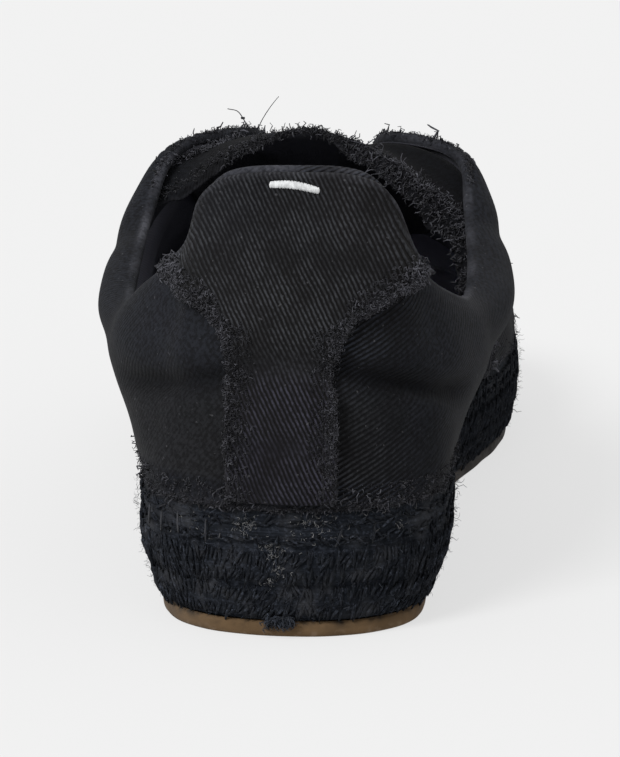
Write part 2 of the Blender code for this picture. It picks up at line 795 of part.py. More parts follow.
def build_heel_stay(material):
    """The T-shaped overlay down the back: a tab under the collar's edge, and a strip to the sole."""
    strip_low = STRIP_CENTRE - STRIP_WIDTH / 2.0
    strip_high = STRIP_CENTRE + STRIP_WIDTH / 2.0
    wing_out = TAB_EDGE[-1].across * GRADE_ACROSS
    wing_in = TAB_EDGE[0].across * GRADE_ACROSS
    stations = list(np.linspace(wing_in, strip_low, 8)[:-1])
    first = len(stations)
    stations += list(np.linspace(strip_low, strip_high, 7))
    last = len(stations) - 1
    stations += list(np.linspace(strip_high, wing_out, 7)[1:])
    inner_lift = FIT_GAP + 0.0002
    outer_lift = inner_lift + STAY_THICKNESS
    tab_rows = 5
    strip_rows = 9
    bm = bmesh.new()
    columns = []
    for across in stations:
        edge = float(read(TAB_CURVE, across)[0])
        foot = heel_rise(across, edge)
        shares = [foot + (TAB_TOP_SHARE - foot) * r / tab_rows for r in range(tab_rows + 1)]
        columns.append([(across, share) for share in shares])
    lines = [[None] * len(stations) for _ in range(strip_rows + tab_rows + 1)]
    for c, column in enumerate(columns):
        for r, place in enumerate(column):
            lines[strip_rows + r][c] = place
        if first <= c <= last:
            foot = column[0][1]
            for r in range(strip_rows):
                share = STRIP_FOOT_SHARE + (foot - STRIP_FOOT_SHARE) * r / strip_rows
                lines[r][c] = (column[0][0], share)

    def vertices(lift):
        grid = []
        for line in lines:
            row = []
            for place in line:
                if place is None:
                    row.append(None)
                    continue
                side, around = heel_turn(place[0], place[1])
                row.append(bm.verts.new(upper_skin(side, around, place[1], lift)))
            grid.append(row)
        return grid

    inner = vertices(inner_lift)
    outer = vertices(outer_lift)
    edges = {}
    for r in range(len(lines) - 1):
        for c in range(len(stations) - 1):
            cell = ((r, c), (r, c + 1), (r + 1, c + 1), (r + 1, c))
            if any(lines[i][j] is None for i, j in cell):
                continue
            bm.faces.new([outer[i][j] for i, j in cell])
            bm.faces.new([inner[i][j] for i, j in reversed(cell)])
            for k in range(4):
                edge = (cell[k], cell[(k + 1) % 4])
                edges[edge] = edges.get(edge, 0) + 1
    for (a, b) in edges:
        if (b, a) not in edges:
            bm.faces.new((outer[a[0]][a[1]], inner[a[0]][a[1]], inner[b[0]][b[1]], outer[b[0]][b[1]]))
    return make_object("heel_stay", bm, material)


def centre_on_origin(items):
    """Moves the finished shoe so that the middle of its outer box is over the origin, standing on Z = 0."""
    low = np.full(3, 1e9)
    high = np.full(3, -1e9)
    for item in items:
        for vertex in item.data.vertices:
            low = np.minimum(low, vertex.co)
            high = np.maximum(high, vertex.co)
    shift = np.array([(low[0] + high[0]) / 2.0, (low[1] + high[1]) / 2.0, low[2]])
    for item in items:
        for vertex in item.data.vertices:
            vertex.co = (vertex.co[0] - shift[0], vertex.co[1] - shift[1], vertex.co[2] - shift[2])
    print("moved by", [round(float(v) * MM, 5) for v in shift])


def main():
    clear_scene()
    canvas = make_material("black_canvas", (0.018, 0.018, 0.020), 0.9)
    edging = make_material("black_canvas_overlay", (0.020, 0.020, 0.022), 0.9)
    rope = make_material("black_rope", (0.016, 0.017, 0.020), 0.95)
    gum = make_material("brown_gum", (0.155, 0.093, 0.040), 0.6)
    bed = make_material("footbed_cloth", (0.025, 0.024, 0.024), 0.9)
    outsole = build_outsole(gum)
    midsole = build_midsole(rope)
    insole = build_insole(bed)
    upper = build_upper(canvas)
    punches = cut_eyelets(upper)
    tongue = build_tongue(canvas)
    stay = build_heel_stay(edging)
    centre_on_origin([outsole, midsole, insole, upper, tongue, stay, punches])


main()
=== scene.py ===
"""A low black canvas shoe for the left foot on a braided rope sole: its looks, piece by piece.

The toe points along -Y, the outer side is +X and the floor is Z = 0.  Tables are in millimetres at the pattern
size, as in the shoe's pattern, and the frame's own box places them.
"""

import functools
import itertools
import json
import math
from collections import namedtuple

import bpy
import numpy as np
from bpy.props import FloatProperty, FloatVectorProperty, PointerProperty
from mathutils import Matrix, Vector
from mathutils.bvhtree import BVHTree

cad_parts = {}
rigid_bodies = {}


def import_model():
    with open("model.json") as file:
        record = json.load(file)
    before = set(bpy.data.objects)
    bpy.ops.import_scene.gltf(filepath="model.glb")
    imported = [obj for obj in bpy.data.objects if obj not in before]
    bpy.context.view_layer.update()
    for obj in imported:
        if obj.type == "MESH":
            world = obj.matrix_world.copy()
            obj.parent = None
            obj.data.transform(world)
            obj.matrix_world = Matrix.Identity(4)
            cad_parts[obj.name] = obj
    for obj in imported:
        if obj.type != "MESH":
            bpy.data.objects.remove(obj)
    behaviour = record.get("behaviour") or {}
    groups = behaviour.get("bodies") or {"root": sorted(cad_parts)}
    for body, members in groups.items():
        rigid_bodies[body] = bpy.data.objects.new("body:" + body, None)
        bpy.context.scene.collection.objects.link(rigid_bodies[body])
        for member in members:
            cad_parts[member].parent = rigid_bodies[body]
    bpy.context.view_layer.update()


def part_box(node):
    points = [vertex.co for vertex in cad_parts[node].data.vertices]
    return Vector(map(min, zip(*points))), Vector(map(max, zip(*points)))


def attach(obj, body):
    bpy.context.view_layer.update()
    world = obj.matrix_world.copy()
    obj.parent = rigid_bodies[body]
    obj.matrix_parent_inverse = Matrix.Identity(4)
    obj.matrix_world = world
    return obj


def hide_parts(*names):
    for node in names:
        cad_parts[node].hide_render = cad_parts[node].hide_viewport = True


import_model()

bl_info = {
    "name": "Rope-soled canvas shoe",
    "version": (1, 0, 0),
    "blender": (4, 5, 0),
    "location": "View3D > Sidebar > Shoe",
    "description": "Makes the detailed pieces of a low canvas shoe on a rope sole",
    "category": "Object",
}

MM = 0.001
LATERAL, MEDIAL = 1, -1
UPWARD = (0.0, 0.0, 1.0)

# names of the surfaces' own planes
WEAVE = "weave"
STRAND = "strand"

# the canvas's grid: columns from the heel to the throat and on to the toe, on each side, and rows up it
BACK_COLUMNS = 186
TOE_COLUMNS = 74
SKIN_ROWS = 96

# walls, insets and gaps, in metres
WALL = 0.0020
UPPER_INSET = 0.0012
FIT_GAP = 0.0003
OUTSOLE_THICKNESS = 0.0032
OUTSOLE_INSET = 0.0008
INSOLE_THICKNESS = 0.0035
TONGUE_CLEARANCE = 0.0009
TONGUE_THICKNESS = 0.0016
STAY_LIFT = 0.0005
STAY_THICKNESS = 0.0012

# the heel strip, the blanket stitch and the sole's underside, in millimetres
STRIP_WIDTH = 21.3
STRIP_CENTRE = 3.0
BLANKET_PITCH = 8.6
SOLE_LENGTH = 264.0
HEEL_FLAT_END = 85.0
BALL_FLAT_START = 148.0
BALL_FLAT_END = 190.0
ARCH_LIFT = 1.3
TOE_SPRING = 7.0

# share of the way round a side at which the facings meet
THROAT = 0.715

# around: share of the way round that side; along, across: the sole's edge;
# belly: lower handle, from the sole's edge; shoulder: upper handle, from the top edge;
# rim: the top edge itself, at the collar, the facing and the throat
Section = namedtuple(
    "Section",
    "name around along across belly_out belly_up shoulder_out shoulder_up rim_along rim_across rim_height",
)

LATERAL_SECTIONS = (
    Section("heel_back", 0.000, 0.0, 0.0, 3.0, 22.0, 3.0, -28.0, 6.0, 0.0, 97.0),
    Section("heel_round", 0.060, 4.0, 18.0, 2.5, 22.0, 3.0, -27.0, 7.3, 12.5, 96.0),
    Section("heel_turn", 0.100, 11.2, 27.4, 2.0, 20.0, 3.5, -24.0, 10.5, 18.6, 90.5),
    Section("tab_side", 0.130, 18.8, 31.9, 1.8, 18.0, 5.0, -19.0, 14.5, 21.3, 81.0),
    Section("wing", 0.155, 26.0, 33.8, 3.2, 16.0, 6.5, -15.0, 20.0, 26.0, 75.6),
    Section("heel_side", 0.200, 39.5, 35.1, 3.6, 14.0, 8.4, -11.0, 33.5, 34.2, 67.2),
    Section("dip", 0.255, 57.0, 35.2, 3.6, 13.0, 12.4, -7.0, 53.0, 38.2, 60.9),
    Section("quarter", 0.335, 82.0, 35.6, 4.0, 16.0, 16.8, -6.0, 82.0, 38.4, 66.0),
    Section("waist", 0.410, 105.5, 37.3, 5.0, 20.0, 13.6, -5.0, 104.0, 35.9, 76.6),
    Section("facing_top", 0.455, 119.5, 39.0, 5.0, 22.0, 12.0, -2.0, 115.0, 30.2, 83.8),
    Section("facing_corner", 0.495, 132.0, 41.0, 5.0, 26.0, 20.0, 0.0, 125.0, 17.5, 85.2),
    Section("facing", 0.545, 147.0, 43.6, 5.0, 26.0, 22.0, -1.0, 142.0, 13.5, 79.5),
    Section("ball", 0.625, 171.5, 46.8, 3.0, 20.0, 20.0, -1.0, 162.0, 11.0, 70.0),
    Section("throat_side", 0.675, 187.0, 47.0, 2.5, 17.0, 20.0, -1.5, 174.0, 6.5, 64.0),
    Section("throat", 0.715, 199.5, 45.8, 2.0, 15.0, 22.0, -2.0, 177.0, 0.0, 62.8),
    Section("vamp", 0.780, 219.0, 41.6, 2.0, 14.5, 20.0, -2.0, 194.0, -2.2, 57.6),
    Section("toe_side", 0.845, 237.0, 34.3, 2.0, 14.0, 19.0, -2.0, 212.0, -4.6, 52.9),
    Section("toe_turn", 0.900, 250.5, 24.8, 2.0, 14.0, 17.0, -2.0, 223.0, -6.0, 50.5),
    Section("toe_round", 0.950, 260.2, 11.0, 2.0, 14.5, 17.0, -2.0, 229.0, -6.7, 49.5),
    Section("toe_tip", 1.000, 264.0, -7.0, 2.0, 15.0, 16.0, -2.0, 232.0, -7.0, 49.0),
)

MEDIAL_SECTIONS = (
    Section("heel_back", 0.000, 0.0, 0.0, 3.0, 22.0, 3.0, -28.0, 6.0, 0.0, 97.0),
    Section("heel_round", 0.060, 4.0, 17.0, 3.0, 22.0, 3.0, -27.0, 7.3, 12.5, 96.0),
    Section("heel_turn", 0.100, 11.2, 25.7, 3.0, 20.0, 3.5, -24.0, 10.5, 18.8, 90.5),
    Section("tab_side", 0.130, 18.4, 29.8, 3.0, 18.0, 5.5, -19.0, 14.5, 21.6, 81.0),
    Section("wing", 0.155, 25.5, 31.5, 3.0, 16.0, 7.0, -15.0, 20.0, 25.5, 73.7),
    Section("heel_side", 0.200, 38.5, 32.2, 2.5, 15.0, 9.0, -11.0, 33.5, 31.6, 66.4),
    Section("dip", 0.255, 55.0, 31.6, 3.5, 15.0, 13.0, -7.0, 53.0, 34.5, 62.4),
    Section("quarter", 0.335, 79.0, 30.3, 6.5, 18.0, 19.2, -6.0, 80.0, 35.0, 66.6),
    Section("waist", 0.410, 101.5, 29.9, 7.0, 23.0, 13.5, -5.0, 102.0, 33.8, 76.0),
    Section("facing_top", 0.455, 115.0, 30.4, 7.0, 25.0, 9.4, -3.0, 114.0, 30.2, 83.0),
    Section("facing_corner", 0.495, 127.0, 31.9, 7.0, 26.0, 17.0, -1.0, 124.0, 17.4, 84.6),
    Section("facing", 0.545, 141.5, 35.0, 6.0, 26.0, 19.0, -1.0, 142.0, 12.5, 79.5),
    Section("ball", 0.625, 164.0, 40.5, 4.0, 22.0, 19.0, -1.0, 162.0, 10.5, 70.0),
    Section("throat_side", 0.675, 178.5, 43.6, 3.0, 18.0, 19.0, -1.5, 174.0, 6.0, 64.0),
    Section("throat", 0.715, 190.5, 44.9, 2.5, 16.0, 21.0, -2.0, 177.0, 0.0, 62.8),
    Section("vamp", 0.780, 210.0, 44.6, 2.0, 15.0, 20.0, -2.0, 194.0, 2.2, 57.6),
    Section("toe_side", 0.845, 231.5, 41.6, 2.0, 14.0, 19.0, -2.0, 212.0, 4.6, 52.9),
    Section("toe_turn", 0.900, 248.5, 34.4, 2.0, 14.0, 17.0, -2.0, 223.0, 6.0, 50.5),
    Section("toe_round", 0.950, 259.6, 22.8, 2.0, 14.5, 17.0, -2.0, 229.0, 6.7, 49.5),
    Section("toe_tip", 1.000, 264.0, 7.0, 2.0, 15.0, 16.0, -2.0, 232.0, 7.0, 49.0),
)

# the top line of the vamp, closed over the foot, from the throat to the toe:
# place round the side, along, across, height, and reach of the handle over the foot
RIDGE = (
    (0.715, 177.0, 0.0, 62.8, 22.0), (0.780, 194.0, -2.2, 57.6, 21.0), (0.845, 212.0, -4.6, 52.9, 19.0),
    (0.900, 223.0, -6.0, 50.5, 17.5), (0.950, 229.0, -6.7, 49.5, 17.0), (1.000, 232.0, -7.0, 49.0, 17.0),
)

# the top of the rope sole, where the upper and the insole sit: along, height
SEAT = (
    (0.0, 27.0), (60.0, 27.0), (105.0, 24.6), (150.0, 22.4), (190.0, 22.2),
    (225.0, 23.8), (264.0, 27.2),
)

# how far the rope sole's side tucks under toward the gum: along, on the lateral side, on the medial side
TUCK = (
    (0.0, 3.6, 3.6), (35.0, 4.3, 5.4), (70.0, 4.0, 5.0), (120.0, 3.0, 3.4), (200.0, 2.4, 2.2),
    (264.0, 2.8, 2.8),
)
TUCK_POWER = 2.5

# the rope sole's side, three wound rows that stand proud of the joints between them: share up, how far out
ROPE_SIDE = (
    (0.000, -0.9), (0.060, -0.1), (0.170, 0.3), (0.280, -0.1), (0.333, -0.7), (0.390, -0.1),
    (0.500, 0.3), (0.610, -0.1), (0.667, -0.8), (0.730, 0.2), (0.840, 0.6), (0.940, 0.2),
    (1.000, -0.8),
)

# the tongue: how far its sheet reaches down inside each quarter, and where its raw back edge runs
TongueEdge = namedtuple("TongueEdge", "side low_at_back low_at_root back_low back_high leave slope")
TONGUE_EDGES = (
    TongueEdge(LATERAL, 0.62, 0.70, 0.365, 0.400, 1.00, 0.0),
    TongueEdge(MEDIAL, 0.54, 0.70, 0.330, 0.380, 0.87, 0.22),
)
TONGUE_ROOT = 0.775
TONGUE_KNEE = 0.45
TONGUE_BACK_CENTRE = 0.400

# the tongue's middle line: place round the side, along, across, height
TONGUE_CROWN = (
    (0.330, 110.0, 0.5, 89.8), (0.400, 114.0, 0.5, 88.2), (0.455, 120.5, 0.5, 86.7),
    (0.495, 127.5, 0.4, 84.6), (0.545, 142.0, 0.3, 78.4), (0.625, 162.0, 0.0, 68.4),
    (0.675, 173.0, 0.0, 62.8), (0.715, 177.0, 0.0, 60.4),
)

# the heel tab's raw lower edge: across from the shoe's middle line, height
TAB_EDGE = (
    (-26.2, 73.6), (-21.0, 71.8), (-15.5, 69.4), (-10.5, 65.0), (-7.7, 59.5), (13.7, 61.0),
    (16.2, 66.0), (19.5, 69.0), (24.0, 71.2), (28.5, 73.0),
)
TAB_TOP_SHARE = 0.992
STRIP_FOOT_SHARE = 0.035


# ---- smooth curves through tables, read for whole arrays at a time
def natural_curve(knots, values):
    x = np.asarray(knots, float)
    y = np.asarray(values, float).reshape(len(x), -1)
    n = len(x)
    h = np.diff(x)
    system = np.eye(n)
    right = np.zeros_like(y)
    for i in range(1, n - 1):
        system[i, i - 1:i + 2] = (h[i - 1], 2.0 * (h[i - 1] + h[i]), h[i])
        right[i] = 6.0 * ((y[i + 1] - y[i]) / h[i] - (y[i] - y[i - 1]) / h[i - 1])
    return x, y, np.linalg.solve(system, right)


def closed_curve(knots, values, period):
    x = np.append(np.asarray(knots, float), knots[0] + period)
    y = np.asarray(values, float).reshape(len(knots), -1)
    y = np.vstack([y, y[:1]])
    n = len(x) - 1
    h = np.diff(x)
    system = np.zeros((n, n))
    right = np.zeros((n, y.shape[1]))
    for i in range(n):
        before = (i - 1) % n
        system[i, before] += h[before]
        system[i, i] += 2.0 * (h[before] + h[i])
        system[i, (i + 1) % n] += h[i]
        step_in = (y[i] - (y[i - 1] if i else y[n - 1])) / h[before]
        right[i] = 6.0 * ((y[i + 1] - y[i]) / h[i] - step_in)
    bend = np.linalg.solve(system, right)
    return x, y, np.vstack([bend, bend[:1]])


def read(curve, at):
    """The curve's values at an array of places, one row each."""
    x, y, bend = curve
    at = np.clip(np.atleast_1d(np.asarray(at, float)), x[0], x[-1])
    i = np.clip(np.searchsorted(x, at, side="right") - 1, 0, len(x) - 2)
    h = (x[i + 1] - x[i])[:, None]
    a = (x[i + 1] - at)[:, None] / h
    b = 1.0 - a
    return a * y[i] + b * y[i + 1] + ((a ** 3 - a) * bend[i] + (b ** 3 - b) * bend[i + 1]) * h * h / 6.0


def smooth(low, high, value):
    """0 at low, 1 at high, with soft ends; low may lie above high."""
    share = np.clip((np.asarray(value, float) - low) / (high - low), 0.0, 1.0)
    return share * share * (3.0 - 2.0 * share)


def unit(rows):
    rows = np.asarray(rows, float)
    return rows / np.maximum(np.linalg.norm(rows, axis=-1, keepdims=True), 1e-12)


def bell(distance, width):
    return np.exp(-(np.asarray(distance) / width) ** 2)


# ---- the shoe's form, as its pattern gives it
def loop_row(row, side):
    return (row.along, side * row.across, row.belly_out, row.belly_up, row.shoulder_out, row.shoulder_up,
            row.rim_along, side * row.rim_across, row.rim_height)


def build_loop():
    """The sections of both sides as one closed curve: heel, lateral side, toe, medial side."""
    knots = [row.around for row in LATERAL_SECTIONS]
    values = [loop_row(row, LATERAL) for row in LATERAL_SECTIONS]
    for row in reversed(MEDIAL_SECTIONS[1:-1]):
        knots.append(2.0 - row.around)
        values.append(loop_row(row, MEDIAL))
    return closed_curve(knots, np.array(values) * MM, 2.0)


LOOP = build_loop()


def table_curve(table, scale=MM):
    """A curve through a table in millimetres whose first column is the place along it."""
    table = np.array(table)
    return natural_curve(table[:, 0] * scale, table[:, 1:] * MM)


RIDGE_CURVE, CROWN_CURVE = table_curve(RIDGE, 1.0), table_curve(TONGUE_CROWN, 1.0)
SEAT_CURVE, TUCK_CURVE, TAB_CURVE = (table_curve(table) for table in (SEAT, TUCK, TAB_EDGE))


def seat_height(along):
    return read(SEAT_CURVE, along)[:, 0]


def ground_height(along):
    """The underside: flat under the heel and the ball, lifted at the arch and sprung at the toe."""
    along = np.asarray(along, float) / MM
    arch = np.clip((along - HEEL_FLAT_END) / (BALL_FLAT_START - HEEL_FLAT_END), 0.0, 1.0)
    toe = np.clip((along - BALL_FLAT_END) / (SOLE_LENGTH - BALL_FLAT_END), 0.0, None)
    return (ARCH_LIFT * np.sin(math.pi * arch) ** 2 + TOE_SPRING * toe ** 2) * MM


def rope_height(along, share):
    """Heights on the rope sole's side: share 0 on the gum, 1 under the canvas."""
    low = ground_height(along) + OUTSOLE_THICKNESS + FIT_GAP
    return low + (seat_height(along) - low) * share


def edge_rows(turn):
    """The sole's edge in the loop's table, and the way out of the sole there, along and across."""
    here = read(LOOP, turn % 2.0)
    run = read(LOOP, (turn + 0.002) % 2.0) - read(LOOP, (turn - 0.002) % 2.0)
    tangent = unit(run[:, :2])
    return here, np.stack([-tangent[:, 1], tangent[:, 0]], 1)


def around_of(turn):
    turn = np.asarray(turn, float) % 2.0
    return np.where(turn <= 1.0, turn, 2.0 - turn)


def side_of(turn):
    return np.where(np.asarray(turn, float) % 2.0 <= 1.0, 1.0, -1.0)


def turn_at(side, around):
    around = np.clip(np.asarray(around, float), 0.0, 1.0)
    return np.where(np.asarray(side) > 0, around, (2.0 - around) % 2.0)


def sole_ring(turn, inset, share=1.0):
    """Points of the sole's outline, moved in by the inset and by the tuck under the rope; the heights stay 0."""
    turn = np.asarray(turn, float) % 2.0
    here, out = edge_rows(turn)
    tuck = read(TUCK_CURVE, here[:, 0])
    near = np.minimum(around_of(turn), 1.0 - around_of(turn))
    blend = smooth(0.0, 0.1, near)
    depth = np.where(turn <= 1.0, tuck[:, 0], tuck[:, 1]) * blend + tuck.mean(1) * (1.0 - blend)
    inset = np.asarray(inset) + depth * (1.0 - np.asarray(share)) ** TUCK_POWER
    along = here[:, 0] - out[:, 0] * inset
    return np.stack([here[:, 1] - out[:, 1] * inset, -along, np.zeros(len(turn))], 1)


def find_shift():
    """How far the pattern's axes lie from the frame's: the rope sole's box in each."""
    turn = np.linspace(0.0, 2.0, 2001)
    rings = np.vstack([sole_ring(turn, -proud * MM, share) for share, proud in ROPE_SIDE])
    low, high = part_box("midsole")
    middle = (np.array(low) + np.array(high)) / 2.0
    shift = (rings.min(0) + rings.max(0)) / 2.0 - middle
    shift[2] = 0.0
    return shift


SHIFT = find_shift()


def ridge_run(around):
    """The direction of the vamp's top line toward the toe, and the same laid level."""
    at = np.clip(around, THROAT, 1.0)
    step = read(RIDGE_CURVE, np.minimum(at + 0.004, 1.0)) - read(RIDGE_CURVE, np.maximum(at - 0.004, THROAT))
    run = unit(np.stack([step[:, 1], -step[:, 0], step[:, 2]], 1))
    return run, unit(run * (1.0, 1.0, 0.0))


def handles(turn):
    """Four handles of the upper's section at each place, from the sole's edge to the top edge."""
    turn = np.asarray(turn, float) % 2.0
    around, side = around_of(turn), side_of(turn)
    here, out = edge_rows(turn)
    outward = np.stack([out[:, 1], -out[:, 0], np.zeros(len(out))], 1)
    foot = np.stack([here[:, 1], -here[:, 0], np.zeros(len(out))], 1) - outward * UPPER_INSET
    foot[:, 2] = seat_height(-foot[:, 1]) + FIT_GAP
    upward = np.array([0.0, 0.0, 1.0])
    belly = foot + outward * here[:, 2:3] + upward * here[:, 3:4]
    ridge = read(RIDGE_CURVE, around)
    on_ridge = np.stack([ridge[:, 1], -ridge[:, 0], ridge[:, 2]], 1)
    rim = np.stack([here[:, 7], -here[:, 6], here[:, 8]], 1)
    rim = np.where((around < THROAT)[:, None], rim, on_ridge)
    shoulder = rim + outward * here[:, 4:5] + upward * here[:, 5:6]
    run, level = ridge_run(around)
    cross = np.stack([-level[:, 1], level[:, 0], np.zeros(len(out))], 1) * side[:, None]
    aim = unit((foot - rim) * (1.0, 1.0, 0.0))
    forward = (aim * level).sum(1, keepdims=True)
    sideways = (aim * cross).sum(1, keepdims=True)
    over = rim + (run * forward + cross * sideways) * ridge[:, 3:4]
    share = np.where(around < THROAT, smooth(THROAT - 0.075, THROAT, around), 1.0)[:, None]
    return foot - SHIFT, belly - SHIFT, shoulder * (1.0 - share) + over * share - SHIFT, rim - SHIFT


def cubic(handles, u):
    """Points on curves of four handles, at shares u of the way along them."""
    a, b, c, d = handles
    v = 1.0 - u
    return a * v ** 3 + b * 3.0 * v * v * u + c * 3.0 * v * u * u + d * u ** 3


def form_point(turn, up):
    """Points on the form, one for each pair of places."""
    return cubic(handles(turn), np.asarray(up, float)[:, None])


# ---- folds and unevenness of the worn canvas
Crease = namedtuple("Crease", "side around_start height_start around_end height_end width depth")
CREASES = (
    Crease(LATERAL, 0.050, 54.5, 0.175, 48.6, 2.7, 2.20),
    Crease(LATERAL, 0.055, 61.0, 0.190, 57.0, 4.0, -0.55),
    Crease(LATERAL, 0.060, 44.0, 0.135, 40.0, 3.2, 0.45),
    Crease(MEDIAL, 0.045, 55.3, 0.180, 46.8, 2.6, 2.60),
    Crease(MEDIAL, 0.050, 61.0, 0.190, 54.5, 4.0, -0.60),
    Crease(MEDIAL, 0.070, 43.5, 0.150, 38.5, 3.2, 0.45),
    Crease(LATERAL, 0.000, 58.5, 0.045, 57.0, 2.4, 0.90),
    Crease(MEDIAL, 0.000, 58.5, 0.040, 57.5, 2.4, 0.90),
    Crease(LATERAL, 0.000, 40.8, 0.050, 40.0, 2.6, 0.50),
    Crease(LATERAL, 0.230, 57.0, 0.330, 44.0, 4.5, 0.80),
    Crease(LATERAL, 0.360, 68.0, 0.430, 46.0, 5.0, 0.70),
    Crease(MEDIAL, 0.240, 56.0, 0.340, 42.0, 4.5, 0.85),
    Crease(MEDIAL, 0.380, 70.0, 0.450, 45.0, 5.0, 0.70),
    Crease(LATERAL, 0.640, 56.0, 0.700, 34.0, 4.0, 0.90),
    Crease(LATERAL, 0.720, 60.0, 0.760, 38.0, 4.5, 0.80),
    Crease(MEDIAL, 0.650, 56.0, 0.710, 34.0, 4.0, 0.90),
    Crease(MEDIAL, 0.730, 60.0, 0.765, 38.0, 4.5, 0.80),
)
SIDE_LENGTH = 282.0
QUARTER_FRONT_LOW = 0.60
QUARTER_FRONT_HIGH = 0.70
QUARTER_STEP = 0.75
STITCH_PULL = 0.35


def quarter_front(up):
    """Where the quarter's raw front edge crosses each height, as a place round its side."""
    return QUARTER_FRONT_LOW + (QUARTER_FRONT_HIGH - QUARTER_FRONT_LOW) * np.asarray(up, float) ** 1.4


def soft_noise(u, v, seed, waves=7):
    """A smooth, repeatable unevenness of about one unit over the plane (u, v)."""
    draw = np.random.default_rng(seed)
    total = np.zeros(np.broadcast(u, v).shape)
    for _ in range(waves):
        angle, phase = draw.uniform(0.0, math.pi), draw.uniform(0.0, 2.0 * math.pi)
        pitch = draw.uniform(0.7, 1.9)
        total = total + np.sin((u * math.cos(angle) + v * math.sin(angle)) * pitch + phase)
    return total / math.sqrt(waves)


def ragged_line(u, seed):
    """The same unevenness along a line."""
    return soft_noise(u, u * 0.0, seed)


def relief(turn, up, points, depth):
    """How far the canvas lies outside (above 0) or inside its form, in metres, and how deep in a fold it is."""
    around, side = around_of(turn), side_of(turn)
    run = around * SIDE_LENGTH
    height = points[..., 2] / MM
    lift, fold = np.zeros(run.shape), np.zeros(run.shape)
    for crease in CREASES:
        a = np.array([crease.around_start * SIDE_LENGTH, crease.height_start])
        b = np.array([crease.around_end * SIDE_LENGTH, crease.height_end])
        span = b - a
        share = ((run - a[0]) * span[0] + (height - a[1]) * span[1]) / (span @ span)
        off = np.hypot(run - a[0] - span[0] * share, height - a[1] - span[1] * share)
        ends = smooth(-0.25, 0.15, share) * smooth(1.25, 0.80, share)
        lift -= crease.depth * bell(off, crease.width) * ends * (side == crease.side)
        fold += max(crease.depth, 0.0) * bell(off, crease.width * 1.25) * ends * (side == crease.side)
    lift = lift * depth / MM
    edge = smooth(0.0, 0.06, up) * np.where(around < THROAT, smooth(1.0, 0.94, up), 1.0)
    wrap = run * np.where(side > 0, 1.0, -1.0)
    lift += 0.26 * soft_noise(wrap / 9.0, height / 8.0, 11) * edge
    lift += 0.10 * soft_noise(wrap / 3.6, height / 3.2, 12) * edge
    pull = 0.5 + 0.5 * np.cos(2.0 * math.pi * run / BLANKET_PITCH)
    lift -= STITCH_PULL * pull * smooth(0.10, 0.0, up)
    lift += QUARTER_STEP * (around < quarter_front(up)) * smooth(0.20, 0.40, around)
    return lift * MM, fold


